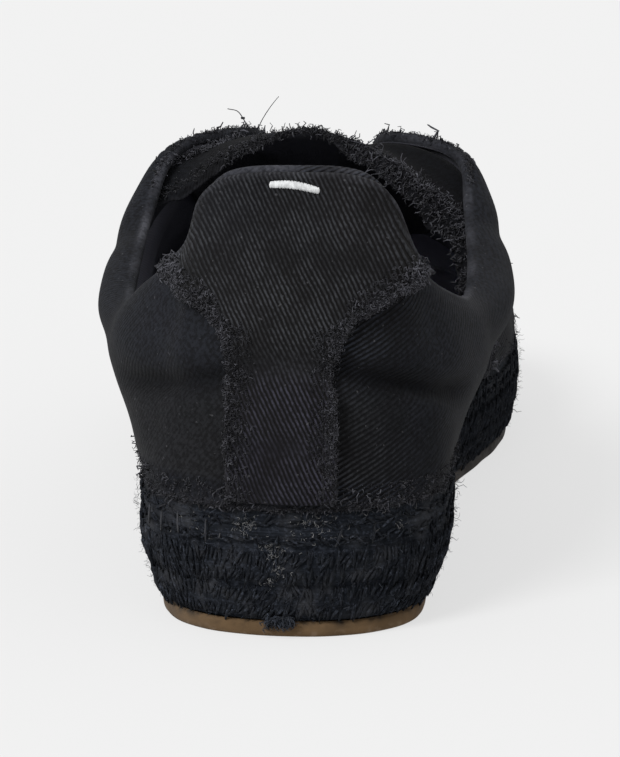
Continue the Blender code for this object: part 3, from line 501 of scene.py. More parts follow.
class Skin:
    """The upper's outer face as one fine grid round the shoe, which can be read at any place."""

    def __init__(self, crease_depth):
        back = np.linspace(0.0, THROAT, BACK_COLUMNS + 1)
        front = np.linspace(THROAT, 1.0, TOE_COLUMNS + 1)[1:]
        half = np.concatenate([back, front])
        self.turn = np.concatenate([half, 2.0 - half[-2:0:-1]])
        self.half = len(half) - 1
        self.up = np.linspace(0.0, 1.0, SKIN_ROWS + 1)
        form = cubic([handle[:, None, :] for handle in handles(self.turn)], self.up[None, :, None])
        self.form_normals = self.grid_normals(form)
        turn, up = np.meshgrid(self.turn, self.up, indexing="ij")
        self.lift, self.fold = relief(turn, up, form, crease_depth)
        self.points = form + self.form_normals * self.lift[..., None]
        self.join_ridge(self.points)
        self.inner = form + self.form_normals * (np.minimum(self.lift, 0.0) - WALL)[..., None]
        self.join_ridge(self.inner)
        self.normals = self.grid_normals(self.points)
        steps = np.linalg.norm(np.roll(form, -1, 0) - form, axis=-1)
        ahead = np.cumsum(steps, 0) - steps
        total = steps.sum(0)
        self.forward = np.where((turn <= 1.0), ahead, total[None, :] - ahead)
        rise = np.linalg.norm(np.diff(form, axis=1), axis=-1)
        self.rise = np.concatenate([np.zeros((len(self.turn), 1)), np.cumsum(rise, 1)], 1)

    def mirror(self, column):
        return (len(self.turn) - column) % len(self.turn)

    def closed_columns(self):
        """Columns on the lateral side where the vamp's top line joins both sides."""
        return [c for c in range(self.half + 1) if self.turn[c] >= THROAT - 1e-9]

    def join_ridge(self, grid):
        for c in self.closed_columns():
            other = self.mirror(c)
            grid[c, -1] = grid[other, -1] = (grid[c, -1] + grid[other, -1]) / 2.0

    def grid_normals(self, grid):
        along = np.roll(grid, -1, 0) - np.roll(grid, 1, 0)
        rise = np.gradient(grid, axis=1)
        normals = unit(np.cross(rise, along))
        for c in self.closed_columns():
            other = self.mirror(c)
            both = unit(normals[c, -1] + normals[other, -1])
            normals[c, -1] = normals[other, -1] = both
        return normals

    def pick(self, grid, turn, up):
        turn = np.asarray(turn, float) % 2.0
        knots = np.append(self.turn, 2.0)
        c = np.clip(np.searchsorted(knots, turn, side="right") - 1, 0, len(self.turn) - 1)
        s = ((turn - knots[c]) / (knots[c + 1] - knots[c]))[..., None]
        r = np.clip((np.asarray(up, float) * SKIN_ROWS).astype(int), 0, SKIN_ROWS - 1)
        t = (np.asarray(up, float) * SKIN_ROWS - r)[..., None]
        n = (c + 1) % len(self.turn)
        low = grid[c, r] * (1.0 - s) + grid[n, r] * s
        high = grid[c, r + 1] * (1.0 - s) + grid[n, r + 1] * s
        return low * (1.0 - t) + high * t

    def point(self, turn, up, lift=0.0):
        """Points on the canvas, lifted off it along the way out of its form."""
        lift = np.broadcast_to(np.asarray(lift, float), np.shape(turn))[..., None]
        return self.pick(self.points, turn, up) + self.way_out(turn, up) * lift

    def within(self, turn, up, clearance):
        """Points inside the wall, that far off its inner face."""
        return self.pick(self.inner, turn, up) - self.way_out(turn, up) * clearance

    def normal(self, turn, up):
        """The canvas's own normals, creases and all."""
        return unit(self.pick(self.normals, turn, up))

    def way_out(self, turn, up):
        """The smooth form's normals."""
        return unit(self.pick(self.form_normals, turn, up))

    def rise_at(self, turn, up):
        """Lengths up the section, in metres."""
        return self.pick(self.rise[..., None], turn, up)[..., 0]


@functools.lru_cache(maxsize=2)
def shoe_skin(crease_depth):
    return Skin(crease_depth)


def solve_between(function, target, low, high, steps=26):
    """Places where a rising function of arrays reaches the target, found by halving."""
    low = np.full(np.shape(target), low, float)
    high = np.full(np.shape(target), high, float)
    for _ in range(steps):
        middle = (low + high) / 2.0
        below = function(middle) < target
        low, high = np.where(below, middle, low), np.where(below, high, middle)
    return (low + high) / 2.0


def heel_turn(across, up):
    """The turn round the heel at which the form lies that far from the pattern's middle line."""
    side = np.where(across >= 0.0, 1.0, -1.0)
    around = solve_between(
        lambda place: np.abs(form_point(turn_at(side, place), up)[:, 0] + SHIFT[0]), np.abs(across), 0.0, 0.30)
    return turn_at(side, around)


def heel_rise(across, height):
    """The share up the section at which the form reaches that height."""
    return solve_between(
        lambda up: form_point(heel_turn(across, up), up)[:, 2], height, 0.0, 1.0, 18)


# ---- meshes
def new_object(data):
    """An object that shows a mesh, light or camera under its own name."""
    item = bpy.data.objects.new(data.name, data)
    bpy.context.scene.collection.objects.link(item)
    return item


def signed_volume(points, faces):
    total = 0.0
    for corner in range(1, faces.shape[1] - 1):
        a, b, c = points[faces[:, 0]], points[faces[:, corner]], points[faces[:, corner + 1]]
        total += float(np.einsum("ij,ij->i", a, np.cross(b, c)).sum())
    return total / 6.0


def make_mesh(name, points, faces):
    """A closed mesh that faces outwards; a four-cornered face may repeat a corner."""
    points = np.asarray(points, float)
    faces = np.asarray(faces, int)
    if signed_volume(points, faces) < 0.0:
        faces = faces[:, ::-1]
    lists = []
    for face in faces.tolist():
        kept = [corner for i, corner in enumerate(face) if corner != face[i - 1]]
        if len(set(kept)) >= 3:
            lists.append(kept)
    mesh = bpy.data.meshes.new(name)
    mesh.from_pydata(points.tolist(), [], lists)
    mesh.update()
    return shade_smooth(mesh)


def shade_smooth(mesh):
    mesh.polygons.foreach_set("use_smooth", np.ones(len(mesh.polygons), bool))
    return mesh


FIELD_KINDS = {
    "FLOAT": ("value", np.float32),
    "FLOAT_VECTOR": ("vector", np.float32),
    "INT": ("value", np.int32),
}


def put_fields(mesh, data_type="FLOAT", **fields):
    """Writes fields on the mesh, each with one value a point."""
    key, number = FIELD_KINDS[data_type]
    for name, values in fields.items():
        layer = mesh.attributes.new(name, data_type, "POINT")
        layer.data.foreach_set(key, np.asarray(values).astype(number).ravel())


def put_plane(mesh, name, plane):
    """Writes a surface's own plane from one pair a point or a corner: millimetres of cloth, or shares of a strand."""
    corners = corner_points(mesh)
    if len(plane) == len(mesh.vertices):
        plane = plane[corners]
    mesh.uv_layers.new(name=name).data.foreach_set("uv", np.asarray(plane, np.float32).ravel())


def corner_points(mesh):
    corners = np.zeros(len(mesh.loops), np.int32)
    mesh.loops.foreach_get("vertex_index", corners)
    return corners


def face_of_corners(mesh):
    totals = np.zeros(len(mesh.polygons), np.int32)
    mesh.polygons.foreach_get("loop_total", totals)
    return np.repeat(np.arange(len(mesh.polygons)), totals)


def turn_plane(forward, rise, rib):
    """Turns a cloth plane so that its second value runs along the ribs, whose direction is (forward, rise)."""
    a, b = np.array(rib) / math.hypot(*rib)
    return np.stack([forward * b - rise * a, forward * a + rise * b], -1)


def sheet_faces(index):
    """Faces of a grid of vertex numbers."""
    return np.stack([index[:-1, :-1], index[1:, :-1], index[1:, 1:], index[:-1, 1:]], -1).reshape(-1, 4)


def tube(path, radii, sides=4):
    """A closed thread along a path: points and faces, with a pole at each end."""
    path = np.asarray(path, float)
    run = unit(np.gradient(path, axis=0))
    aside = unit(np.cross(run, (0.0, 0.13, 1.0)))
    other = np.cross(run, aside)
    angle = np.arange(sides) * 2.0 * math.pi / sides
    rim = np.cos(angle)[None, :, None] * aside[:, None] + np.sin(angle)[None, :, None] * other[:, None]
    rings = path[:, None] + rim * np.asarray(radii, float)[:, None, None]
    points = np.vstack([rings.reshape(-1, 3), path[:1], path[-1:]])
    low, high, last = len(points) - 2, len(points) - 1, (len(path) - 1) * sides
    faces = []
    for r in range(len(path) - 1):
        for s in range(sides):
            a, b = r * sides + s, r * sides + (s + 1) % sides
            faces.append((a, b, b + sides, a + sides))
    for s in range(sides):
        t = (s + 1) % sides
        faces += [(low, t, s, s), (high, last + s, last + t, last + t)]
    return points, np.array(faces)


def join_parts(parts):
    """One set of points and faces from several."""
    starts = np.cumsum([0] + [len(points) for points, _ in parts])
    return (np.vstack([points for points, _ in parts]),
            np.vstack([faces + start for (_, faces), start in zip(parts, starts)]))


def finish_piece(item, material, cad_slot, *cad_nodes):
    """Gives a finished piece its materials and its place on the shoe's one body."""
    for extra in (material if isinstance(material, (list, tuple)) else [material]):
        if extra.name not in item.data.materials:
            item.data.materials.append(extra)
    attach(item, "root")
    if cad_nodes:
        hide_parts(*cad_nodes)


# ---- planting threads, strands and stitches on a surface with Geometry Nodes
def planting_tree(name):
    """Sets a chosen prototype on every point, aimed and turned by the point's own vectors, and realizes them."""
    tree = bpy.data.node_groups.new(name, "GeometryNodeTree")
    for socket, kind in (("Geometry", "Geometry"), ("Prototypes", "Collection"), ("Size", "Float"),
                         ("Scatter", "Float"), ("Seed", "Int"), ("Material", "Material")):
        tree.interface.new_socket(socket, in_out="INPUT", socket_type="NodeSocket" + kind)
    tree.interface.new_socket("Geometry", in_out="OUTPUT", socket_type="NodeSocketGeometry")

    def add(kind, output, inputs, **options):
        """Adds a node with its options and inputs, and gives back one of its outputs."""
        node = tree.nodes.new(kind)
        for option, value in options.items():
            setattr(node, option, value)
        for socket, value in inputs.items():
            if isinstance(value, bpy.types.NodeSocket):
                tree.links.new(value, node.inputs[socket])
            else:
                node.inputs[socket].default_value = value
        return node.outputs[output]

    def named(attribute, kind="FLOAT_VECTOR"):
        return add("GeometryNodeInputNamedAttribute", "Attribute", {"Name": attribute}, data_type=kind)

    entry = tree.nodes.new("NodeGroupInput").outputs
    shapes = add("GeometryNodeCollectionInfo", "Instances",
                 {"Collection": entry["Prototypes"], "Separate Children": True, "Reset Children": True})
    along = add("FunctionNodeAlignRotationToVector", "Rotation", {"Vector": named("aim")}, axis="X")
    upright = add("FunctionNodeAlignRotationToVector", "Rotation", {"Rotation": along, "Vector": named("lift")},
                  axis="Z", pivot_axis="X")
    least = add("ShaderNodeMath", 0, {0: entry["Scatter"], 1: -1.0}, operation="MULTIPLY")
    spread = add("FunctionNodeRandomValue", "Value",
                 {"Min": least, "Max": entry["Scatter"], "Seed": entry["Seed"]}, data_type="FLOAT_VECTOR")
    bend = add("FunctionNodeEulerToRotation", "Rotation", {"Euler": spread})
    turned = add("FunctionNodeRotateRotation", "Rotation", {"Rotation": upright, "Rotate By": bend},
                 rotation_space="LOCAL")
    scaled = add("ShaderNodeVectorMath", "Vector", {0: named("span"), "Scale": entry["Size"]}, operation="SCALE")
    planted = add("GeometryNodeInstanceOnPoints", "Instances",
                  {"Points": entry["Geometry"], "Instance": shapes, "Pick Instance": True,
                   "Instance Index": named("kind", "INT"), "Rotation": turned, "Scale": scaled})
    real = add("GeometryNodeRealizeInstances", "Geometry", {"Geometry": planted})
    dressed = add("GeometryNodeSetMaterial", "Geometry", {"Geometry": real, "Material": entry["Material"]})
    tree.links.new(dressed, tree.nodes.new("NodeGroupOutput").inputs["Geometry"])
    return tree


Bed = namedtuple("Bed", "points aims lifts spans kinds tones")


def join_beds(beds):
    """One bed of several."""
    return Bed(*[np.concatenate([np.asarray(field, float) for field in fields]) for fields in zip(*beds)])


def plant(name, bed, shapes, scatter, seed, material, cad_slot, size=1.0):
    """Makes a plain mesh of the shapes planted at the bed's points, and finishes it as a piece."""
    kit = bpy.data.collections.new(name + "_shapes")
    bpy.context.scene.collection.children.link(kit)
    for number, (points, faces) in enumerate(shapes):
        mesh = make_mesh(f"{name}_shape_{number:02d}", points, faces)
        put_strand_plane(mesh)
        mesh.materials.append(material)
        kit.objects.link(bpy.data.objects.new(mesh.name, mesh))
    host = bpy.data.meshes.new(name + "_bed")
    host.from_pydata(np.asarray(bed.points).tolist(), [], [])
    put_fields(host, "FLOAT_VECTOR", aim=unit(bed.aims), lift=unit(bed.lifts), span=bed.spans)
    put_fields(host, tone=bed.tones)
    put_fields(host, "INT", kind=bed.kinds)
    field = new_object(host)
    tree = bpy.data.node_groups.get("planting") or planting_tree("planting")
    modifier = field.modifiers.new("planting", "NODES")
    modifier.node_group = tree
    sockets = {item.name: item.identifier for item in tree.interface.items_tree if item.in_out == "INPUT"}
    for socket, value in (("Prototypes", kit), ("Size", float(size)), ("Scatter", scatter), ("Seed", seed),
                          ("Material", material)):
        modifier[sockets[socket]] = value
    grown = bpy.data.meshes.new_from_object(field.evaluated_get(bpy.context.evaluated_depsgraph_get()))
    if not len(grown.polygons):
        raise RuntimeError(f"nothing was planted for {name}")
    grown.name = name
    for spent in (field, *kit.objects):
        bpy.data.objects.remove(spent, do_unlink=True)
    bpy.data.collections.remove(kit)
    finish_piece(new_object(shade_smooth(grown)), material, cad_slot)


def put_strand_plane(mesh):
    """A strand's own plane: along it from 0 to 1, and round it in turns."""
    place = np.zeros(len(mesh.vertices) * 3)
    mesh.vertices.foreach_get("co", place)
    x, y, z = place.reshape(-1, 3)[corner_points(mesh)].T
    along = (x - x.min()) / max(float(np.ptp(x)), 1e-9)
    round_it = np.arctan2(z - z.mean(), y - y.mean()) / (2.0 * math.pi)
    put_plane(mesh, STRAND, np.stack([along, np.abs(round_it)], 1))


def thread_shapes(count, seed, curl, knots, radius):
    """Short curly threads, one unit long, that leave the cloth at the origin and stand along X."""
    draw = np.random.default_rng(seed)
    share = np.linspace(0.0, 1.0, knots)
    shapes = []
    for _ in range(count):
        phase = draw.uniform(0.0, 2.0 * math.pi, 2)
        winding = draw.uniform(0.6, 1.5, 2) * 2.0 * math.pi
        reach = curl * draw.uniform(0.5, 1.0, 2)
        waves = [reach[k] * (np.sin(phase[k] + winding[k] * share) - np.sin(phase[k])) for k in (0, 1)]
        path = np.stack([share * (1.0 - 0.35 * curl * share), *waves], 1)
        shapes.append(tube(path, radius * (1.0 - 0.55 * share ** 2), 3))
    return shapes


# ---- finishes
def shade(colour, factor):
    """A colour times one factor, or times one for each channel."""
    return tuple(channel * k for channel, k in zip(colour, np.broadcast_to(factor, 3).tolist()))


class Wires:
    """Short ways to add nodes to a material's tree."""

    def __init__(self, name):
        self.material = bpy.data.materials.new(name)
        self.material.use_nodes = True
        self.nodes = self.material.node_tree.nodes
        self.links = self.material.node_tree.links
        self.shader = self.nodes["Principled BSDF"]

    def put(self, socket, value):
        if isinstance(value, bpy.types.NodeSocket):
            self.links.new(value, socket)
        elif hasattr(value, "__len__") and len(value) == 3 and len(socket.default_value) == 4:
            socket.default_value = (*value, 1.0)
        else:
            socket.default_value = value

    def add(self, kind, values, output=0, **options):
        """Adds a node with its options, feeds its inputs in order, and gives back one of its outputs."""
        node = self.nodes.new(kind)
        for option, value in options.items():
            setattr(node, option, value)
        for socket, value in zip(node.inputs, values):
            self.put(socket, value)
        return node.outputs[output]

    def math(self, operation, *values, clamp=False):
        return self.add("ShaderNodeMath", values, operation=operation, use_clamp=clamp)

    times = functools.partialmethod(math, "MULTIPLY")
    plus = functools.partialmethod(math, "ADD")
    minus = functools.partialmethod(math, "SUBTRACT")
    over = functools.partialmethod(math, "DIVIDE")
    times_plus = functools.partialmethod(math, "MULTIPLY_ADD")

    def hump(self, value):
        """Half a wave in each unit of the value."""
        return self.math("SINE", self.times(self.math("FRACT", value), math.pi))

    def noise(self, scale, detail=2.0, vector=None):
        node = self.nodes.new("ShaderNodeTexNoise")
        for socket, value in (("Vector", vector or self.place()), ("Scale", scale), ("Detail", detail)):
            self.put(node.inputs[socket], value)
        return node.outputs["Fac"]

    def specks(self, scale, detail, *ends):
        """Noise carried over from its own low and high to a start and end, with soft ends."""
        return self.between(self.noise(scale, detail), *ends)

    def place(self):
        node = self.nodes.get("place") or self.nodes.new("ShaderNodeTexCoord")
        node.name = "place"
        return node.outputs["Object"]

    def split(self, vector):
        node = self.nodes.new("ShaderNodeSeparateXYZ")
        self.links.new(vector, node.inputs[0])
        return node.outputs

    def plane(self, name):
        return self.split(self.add("ShaderNodeUVMap", (), uv_map=name))[:2]

    def vector(self, *values):
        return self.add("ShaderNodeCombineXYZ", values)

    def attribute(self, name):
        return self.add("ShaderNodeAttribute", (), "Fac", attribute_name=name)

    def between(self, value, low, high, start=0.0, end=1.0):
        """Carries low..high over to start..end, with soft ends."""
        return self.add("ShaderNodeMapRange", (value, low, high, start, end), interpolation_type="SMOOTHSTEP")

    def blend(self, share, first, second):
        node = self.nodes.new("ShaderNodeMix")
        node.data_type = "RGBA"
        for number, value in ((0, share), (6, first), (7, second)):
            self.put(node.inputs[number], value)
        return node.outputs[2]

    def worn_and_highlit(self, cloth, pale):
        """The cloth with broken specks of a pale colour: rubbed cloth, and along the rims a painted highlight."""
        return self.blend(self.times(self.attribute("wear"), self.specks(1100.0, 2.0, 0.30, 0.62, 0.35, 1.0)),
                          cloth, pale)

    def bump(self, height, distance):
        node = self.nodes.new("ShaderNodeBump")
        for socket, value in (("Strength", 1.0), ("Distance", distance), ("Height", height)):
            self.put(node.inputs[socket], value)
        self.links.new(node.outputs["Normal"], self.shader.inputs["Normal"])

    def finish(self, colour, roughness=0.9, specular=0.2, sheen=0.0, sheen_roughness=0.5):
        for socket, value in (("Base Color", colour), ("Roughness", roughness), ("Specular IOR Level", specular),
                              ("Sheen Weight", sheen), ("Sheen Roughness", sheen_roughness)):
            self.put(self.shader.inputs[socket], value)
        return self.material


FLOAT_LENGTH = 1.45
FLOAT_STEP = 0.37


def twill_cloth(name, sizes, colours, strength=1.0, pitch=1.0, tone=1.0, tint=(0.94, 1.0, 1.15)):
    """Washed black twill: diagonal ribs of short floats, uneven dye, lint, pale rubbed specks where the edges rub,
    which along the rims are partly a painted highlight, and painted shade in creases and hollows.
    """
    w = Wires(name)
    across, along = w.plane(WEAVE)
    pitch = sizes.wale_pitch / MM * pitch
    dark, plain = shade(colours.canvas_dark, tone), shade(colours.canvas_rib, tone)
    lines = w.attribute("lines")
    rib = w.blend(w.attribute("tint"), plain, shade(plain, tint))
    wander = w.times(w.minus(w.noise(70.0), 0.5), 1.1)
    jitter = w.times(w.minus(w.noise(900.0, 1.0), 0.5), 0.30)
    ribs = w.over(w.plus(w.plus(across, wander), jitter), pitch)
    floats = w.plus(w.over(along, pitch * FLOAT_LENGTH), w.times(w.math("FLOOR", ribs), FLOAT_STEP))
    height = w.times(w.math("POWER", w.hump(ribs), 0.8), w.times_plus(w.hump(floats), 0.07, 0.93))
    line = w.between(height, 0.58, 1.0)
    washed = w.specks(110.0, 3.0, 0.34, 0.66, 0.35, 1.0)
    yarn = w.specks(1150.0, 2.0, 0.36, 0.64, 0.42, 1.10)
    shown = w.times(w.times(w.times(line, washed), w.times(yarn, lines)), strength, clamp=True)
    ground = w.blend(w.specks(38.0, 3.0, 0.35, 0.68), dark, shade(dark, 1.5))
    warmth = w.times(w.specks(26.0, 1.0, 0.40, 0.62), 0.5)
    ground = w.blend(warmth, ground, shade(dark, (1.6, 1.45, 1.15)))
    haze = w.times(w.minus(1.0, lines, clamp=True), w.between(yarn, 0.4, 1.1, 0.16, 0.44))
    cloth = w.blend(shown, w.blend(haze, ground, rib), rib)
    cloth = w.blend(w.times(w.specks(1000.0, 1.0, 0.735, 0.80), 0.38), cloth, colours.lint)
    # Painted shade: the cloth goes toward near-black where the point's field marks creases, hollows and shadowed
    # sides.
    cloth = w.blend(w.attribute("soil"), w.worn_and_highlit(cloth, colours.thread_pale), (0.0015, 0.0015, 0.0018))
    fibres = w.times(w.noise(3200.0, 2.0), 0.35)
    relief_share = w.times(w.times_plus(lines, 0.8, 0.2), strength)
    w.bump(w.plus(w.times(height, relief_share), fibres), 0.00022)
    return w.finish(cloth, 0.88, 0.04, 0.02, 0.45)


LINING_PITCH = 0.55


def lining_cloth(name, colours, tone=1.0):
    """Black lining with a fine even weave, whose colour is raised to a mid grey, and paler still deep inside the
    shoe, as painted light for its shadowed inside.
    """
    w = Wires(name)
    warp, weft = (w.math("SINE", w.times(value, 2.0 * math.pi / LINING_PITCH)) for value in w.plane(WEAVE))
    weave = w.times(w.plus(w.times(warp, weft), 1.0), 0.5)
    light = shade(colours.lining, tone)
    patches = w.times_plus(w.specks(55.0, 3.0, 0.32, 0.70), 0.5, 0.5)
    cloth = w.blend(w.times(weave, patches), shade(light, 0.35), light)
    # Painted light: paler where the field marks the shadowed inside toward the toe.
    cloth = w.blend(w.attribute("deep"), cloth, tuple(min(c * 3.2, 0.62) for c in light))
    # Painted shade on the lining, where the point's field marks it.
    cloth = w.blend(w.attribute("soil"), w.worn_and_highlit(cloth, colours.thread_pale), (0.004, 0.004, 0.005))
    w.bump(weave, 0.00008)
    return w.finish(cloth, 0.92, 0.04, 0.02)


def frayed_thread(name, dark, light):
    """Cotton ends: each has its own tone, and is fuzzy along its length."""
    w = Wires(name)
    w.bump(w.noise(5200.0, 1.0), 0.00005)
    share = w.times(w.attribute("tone"), w.specks(2600.0, 2.0, 0.30, 0.70, 0.75, 1.1), clamp=True)
    return w.finish(w.blend(share, dark, light), 0.9, 0.06, 0.05, 0.5)


def jute(name, colours):
    """Dyed jute: long fibres along each strand, dry tips, dust and lint."""
    w = Wires(name)
    along, round_it = w.plane(STRAND)
    tone = w.attribute("tone")
    lines = w.noise(1.0, 3.0, w.vector(w.times(along, 5.0), w.times(round_it, 46.0), w.times(tone, 37.0)))
    speck = w.specks(1150.0, 3.0, 0.42, 0.66, 0.35, 1.25)
    light = w.times(w.times(w.between(lines, 0.40, 0.68), speck), w.times_plus(tone, 0.75, 0.25), clamp=True)
    cord = w.blend(light, colours.rope_dark, colours.rope_light)
    dry = w.times(w.specks(1500.0, 2.0, 0.56, 0.66), w.times_plus(tone, 0.55, 0.13))
    cord = w.blend(dry, cord, shade(colours.rope_light, 1.9))
    cord = w.blend(w.times(w.specks(1300.0, 2.0, 0.46, 0.34), 0.55), cord, shade(colours.rope_dark, 0.6))
    cord = w.blend(w.times(w.specks(150.0, 4.0, 0.48, 0.74), 0.20), cord, colours.lint)
    w.bump(w.plus(lines, w.times(w.noise(2400.0, 3.0), 0.4)), 0.00030)
    return w.finish(cord, 0.95, 0.04, 0.02, 0.6)


TREAD_PITCH = 0.0052
TREAD_SWING = 0.004


def gum_rubber(name, colours):
    """Brown gum rubber: cloudy, scuffed pale at its lower edge, with painted shade under the rope and a painted
    shadow along the medial side, and a fine tread underneath.
    """
    w = Wires(name)
    x, y, z = w.split(w.place())
    body = w.blend(w.specks(95.0, 4.0, 0.30, 0.72), shade(colours.gum, 0.62), colours.gum)
    scuff = w.times(w.specks(620.0, 4.0, 0.50, 0.70), w.between(z, 0.0022, 0.0002))
    body = w.blend(w.times(scuff, 0.5), body, (0.16, 0.115, 0.078))
    # Painted shade: darker toward the top of the gum, under the rope, broken by specks.
    grime = w.times(w.specks(240.0, 4.0, 0.42, 0.66), w.attribute("grime"), clamp=True)
    body = w.blend(grime, body, (0.012, 0.010, 0.008))
    body = w.blend(w.between(x, 0.012, 0.036, 0.0, 0.55), body, (0.075, 0.064, 0.054))
    # Painted shadow along the medial side.
    body = w.blend(w.times(w.between(x, -0.024, -0.034), 0.9), body, (0.010, 0.010, 0.011))
    zigzag = w.math("PINGPONG", x, TREAD_SWING)
    bars = w.math("SINE", w.times(w.plus(y, zigzag), 2.0 * math.pi / TREAD_PITCH))
    tread = w.times(w.between(bars, -0.2, 0.2), w.attribute("tread"))
    w.bump(w.plus(w.times(tread, 0.8), w.times(w.noise(1500.0, 3.0), 0.12)), 0.0007)
    return w.finish(body, w.specks(300.0, 2.0, 0.35, 0.65, 0.68, 0.84), 0.10)


# ---- the canvas upper
RIM_STEPS = 3
INNER_STEP = 3
INNER_START = SKIN_ROWS + RIM_STEPS


def upper_order(skin):
    """Vertex numbers of the whole wall, column by column: up the outer face, over the rim, down the inner face."""
    columns = len(skin.turn)
    outer_rows = SKIN_ROWS + 1
    inner_rows = SKIN_ROWS // INNER_STEP + 1
    rows = outer_rows + RIM_STEPS + inner_rows
    order = np.arange(columns * rows).reshape(columns, rows)
    throat = BACK_COLUMNS
    for c in skin.closed_columns():
        order[skin.mirror(c), SKIN_ROWS] = order[c, SKIN_ROWS]
        order[skin.mirror(c), outer_rows + RIM_STEPS] = order[c, outer_rows + RIM_STEPS]
    order[skin.mirror(throat), outer_rows:outer_rows + RIM_STEPS] = order[throat, outer_rows:outer_rows + RIM_STEPS]
    return order


def upper_wall(skin):
    """Points of the wall in the order's layout."""
    outer = skin.points
    picked = np.arange(SKIN_ROWS, -1, -INNER_STEP)
    inner = skin.inner[:, picked].copy()
    inner[:, -1, 2] = outer[:, 0, 2]
    middle = (outer[:, -1] + inner[:, 0]) / 2.0
    half = (outer[:, -1] - inner[:, 0]) / 2.0
    rise = unit(outer[:, -1] - outer[:, -2]) * np.linalg.norm(half, axis=-1, keepdims=True)
    bulge = smooth(THROAT, THROAT - 0.03, around_of(skin.turn))[:, None]
    rim = []
    for step in range(1, RIM_STEPS + 1):
        angle = math.pi * step / (RIM_STEPS + 1)
        rim.append(middle + half * math.cos(angle) + rise * math.sin(angle) * bulge)
    return np.concatenate([outer, np.stack(rim, 1), inner], 1)


def upper_faces(skin, order):
    columns, rows = order.shape
    closed = set(skin.closed_columns())
    closed |= {skin.mirror(c) for c in closed}
    faces = []
    for c in range(columns):
        n = (c + 1) % columns
        joined = c in closed and n in closed
        for r in range(rows):
            if not (joined and SKIN_ROWS <= r < INNER_START + 1):
                s = (r + 1) % rows
                faces.append((order[c, r], order[c, s], order[n, s], order[n, r]))
    return np.array(faces)


EYELET_PAIRS = 5
EYELET_FIRST = 0.508
EYELET_LAST = 0.650
EYELET_EDGE = 0.0090
EYELET_DIAMETER = 0.0045
PUNCH_REACH = 2.6 * WALL


def eyelet_places(skin):
    """Turn and share up of every eyelet, both sides, and the way out of the form there."""
    around = np.tile(np.linspace(EYELET_FIRST, EYELET_LAST, EYELET_PAIRS), 2)
    side = np.repeat([LATERAL, MEDIAL], EYELET_PAIRS)
    turn = turn_at(side, around)
    rim = form_point(turn, np.ones(len(turn)))
    up = solve_between(lambda at: -np.linalg.norm(form_point(turn, at) - rim, axis=1),
                       np.full(len(turn), -EYELET_EDGE), 0.5, 1.0)
    return turn, up, skin.way_out(turn, up)


def punch_eyelets(item, skin):
    turn, up, normals = eyelet_places(skin)
    parts = []
    for centre, normal in zip(skin.point(turn, up, -WALL / 2.0), normals):
        path = [centre + normal * lift for lift in (-PUNCH_REACH, PUNCH_REACH)]
        parts.append(tube(path, [EYELET_DIAMETER / 2.0] * 2, 22))
    punches = new_object(make_mesh("eyelet_punches", *join_parts(parts)))
    cut = item.modifiers.new("eyelets", "BOOLEAN")
    cut.operation, cut.solver, cut.object = "DIFFERENCE", "EXACT", punches
    before = len(item.data.polygons)
    mesh = bpy.data.meshes.new_from_object(item.evaluated_get(bpy.context.evaluated_depsgraph_get()))
    if len(mesh.polygons) <= before * 0.9 or len(mesh.polygons) == before:
        raise RuntimeError("the eyelets weren't punched")
    item.modifiers.clear()
    item.data = mesh
    bpy.data.objects.remove(punches, do_unlink=True)


# each way of the cloth is given as the ribs' direction: forward and up
QUARTER_RIBS = {LATERAL: (-0.68, 0.73), MEDIAL: (0.885, 0.465)}
VAMP_RIBS = (0.50, 0.87)
TONGUE_RIBS = (0.45, 0.89)
STAY_RIBS = (-0.41, 0.912)
RIB_SHOW = {LATERAL: 0.12, MEDIAL: 1.0, "vamp": 0.55}
QUARTER_PITCH = 1.17
# how strongly a crease darkens the cloth, as painted shade
FOLD_PAINTED_SHADE = 0.26


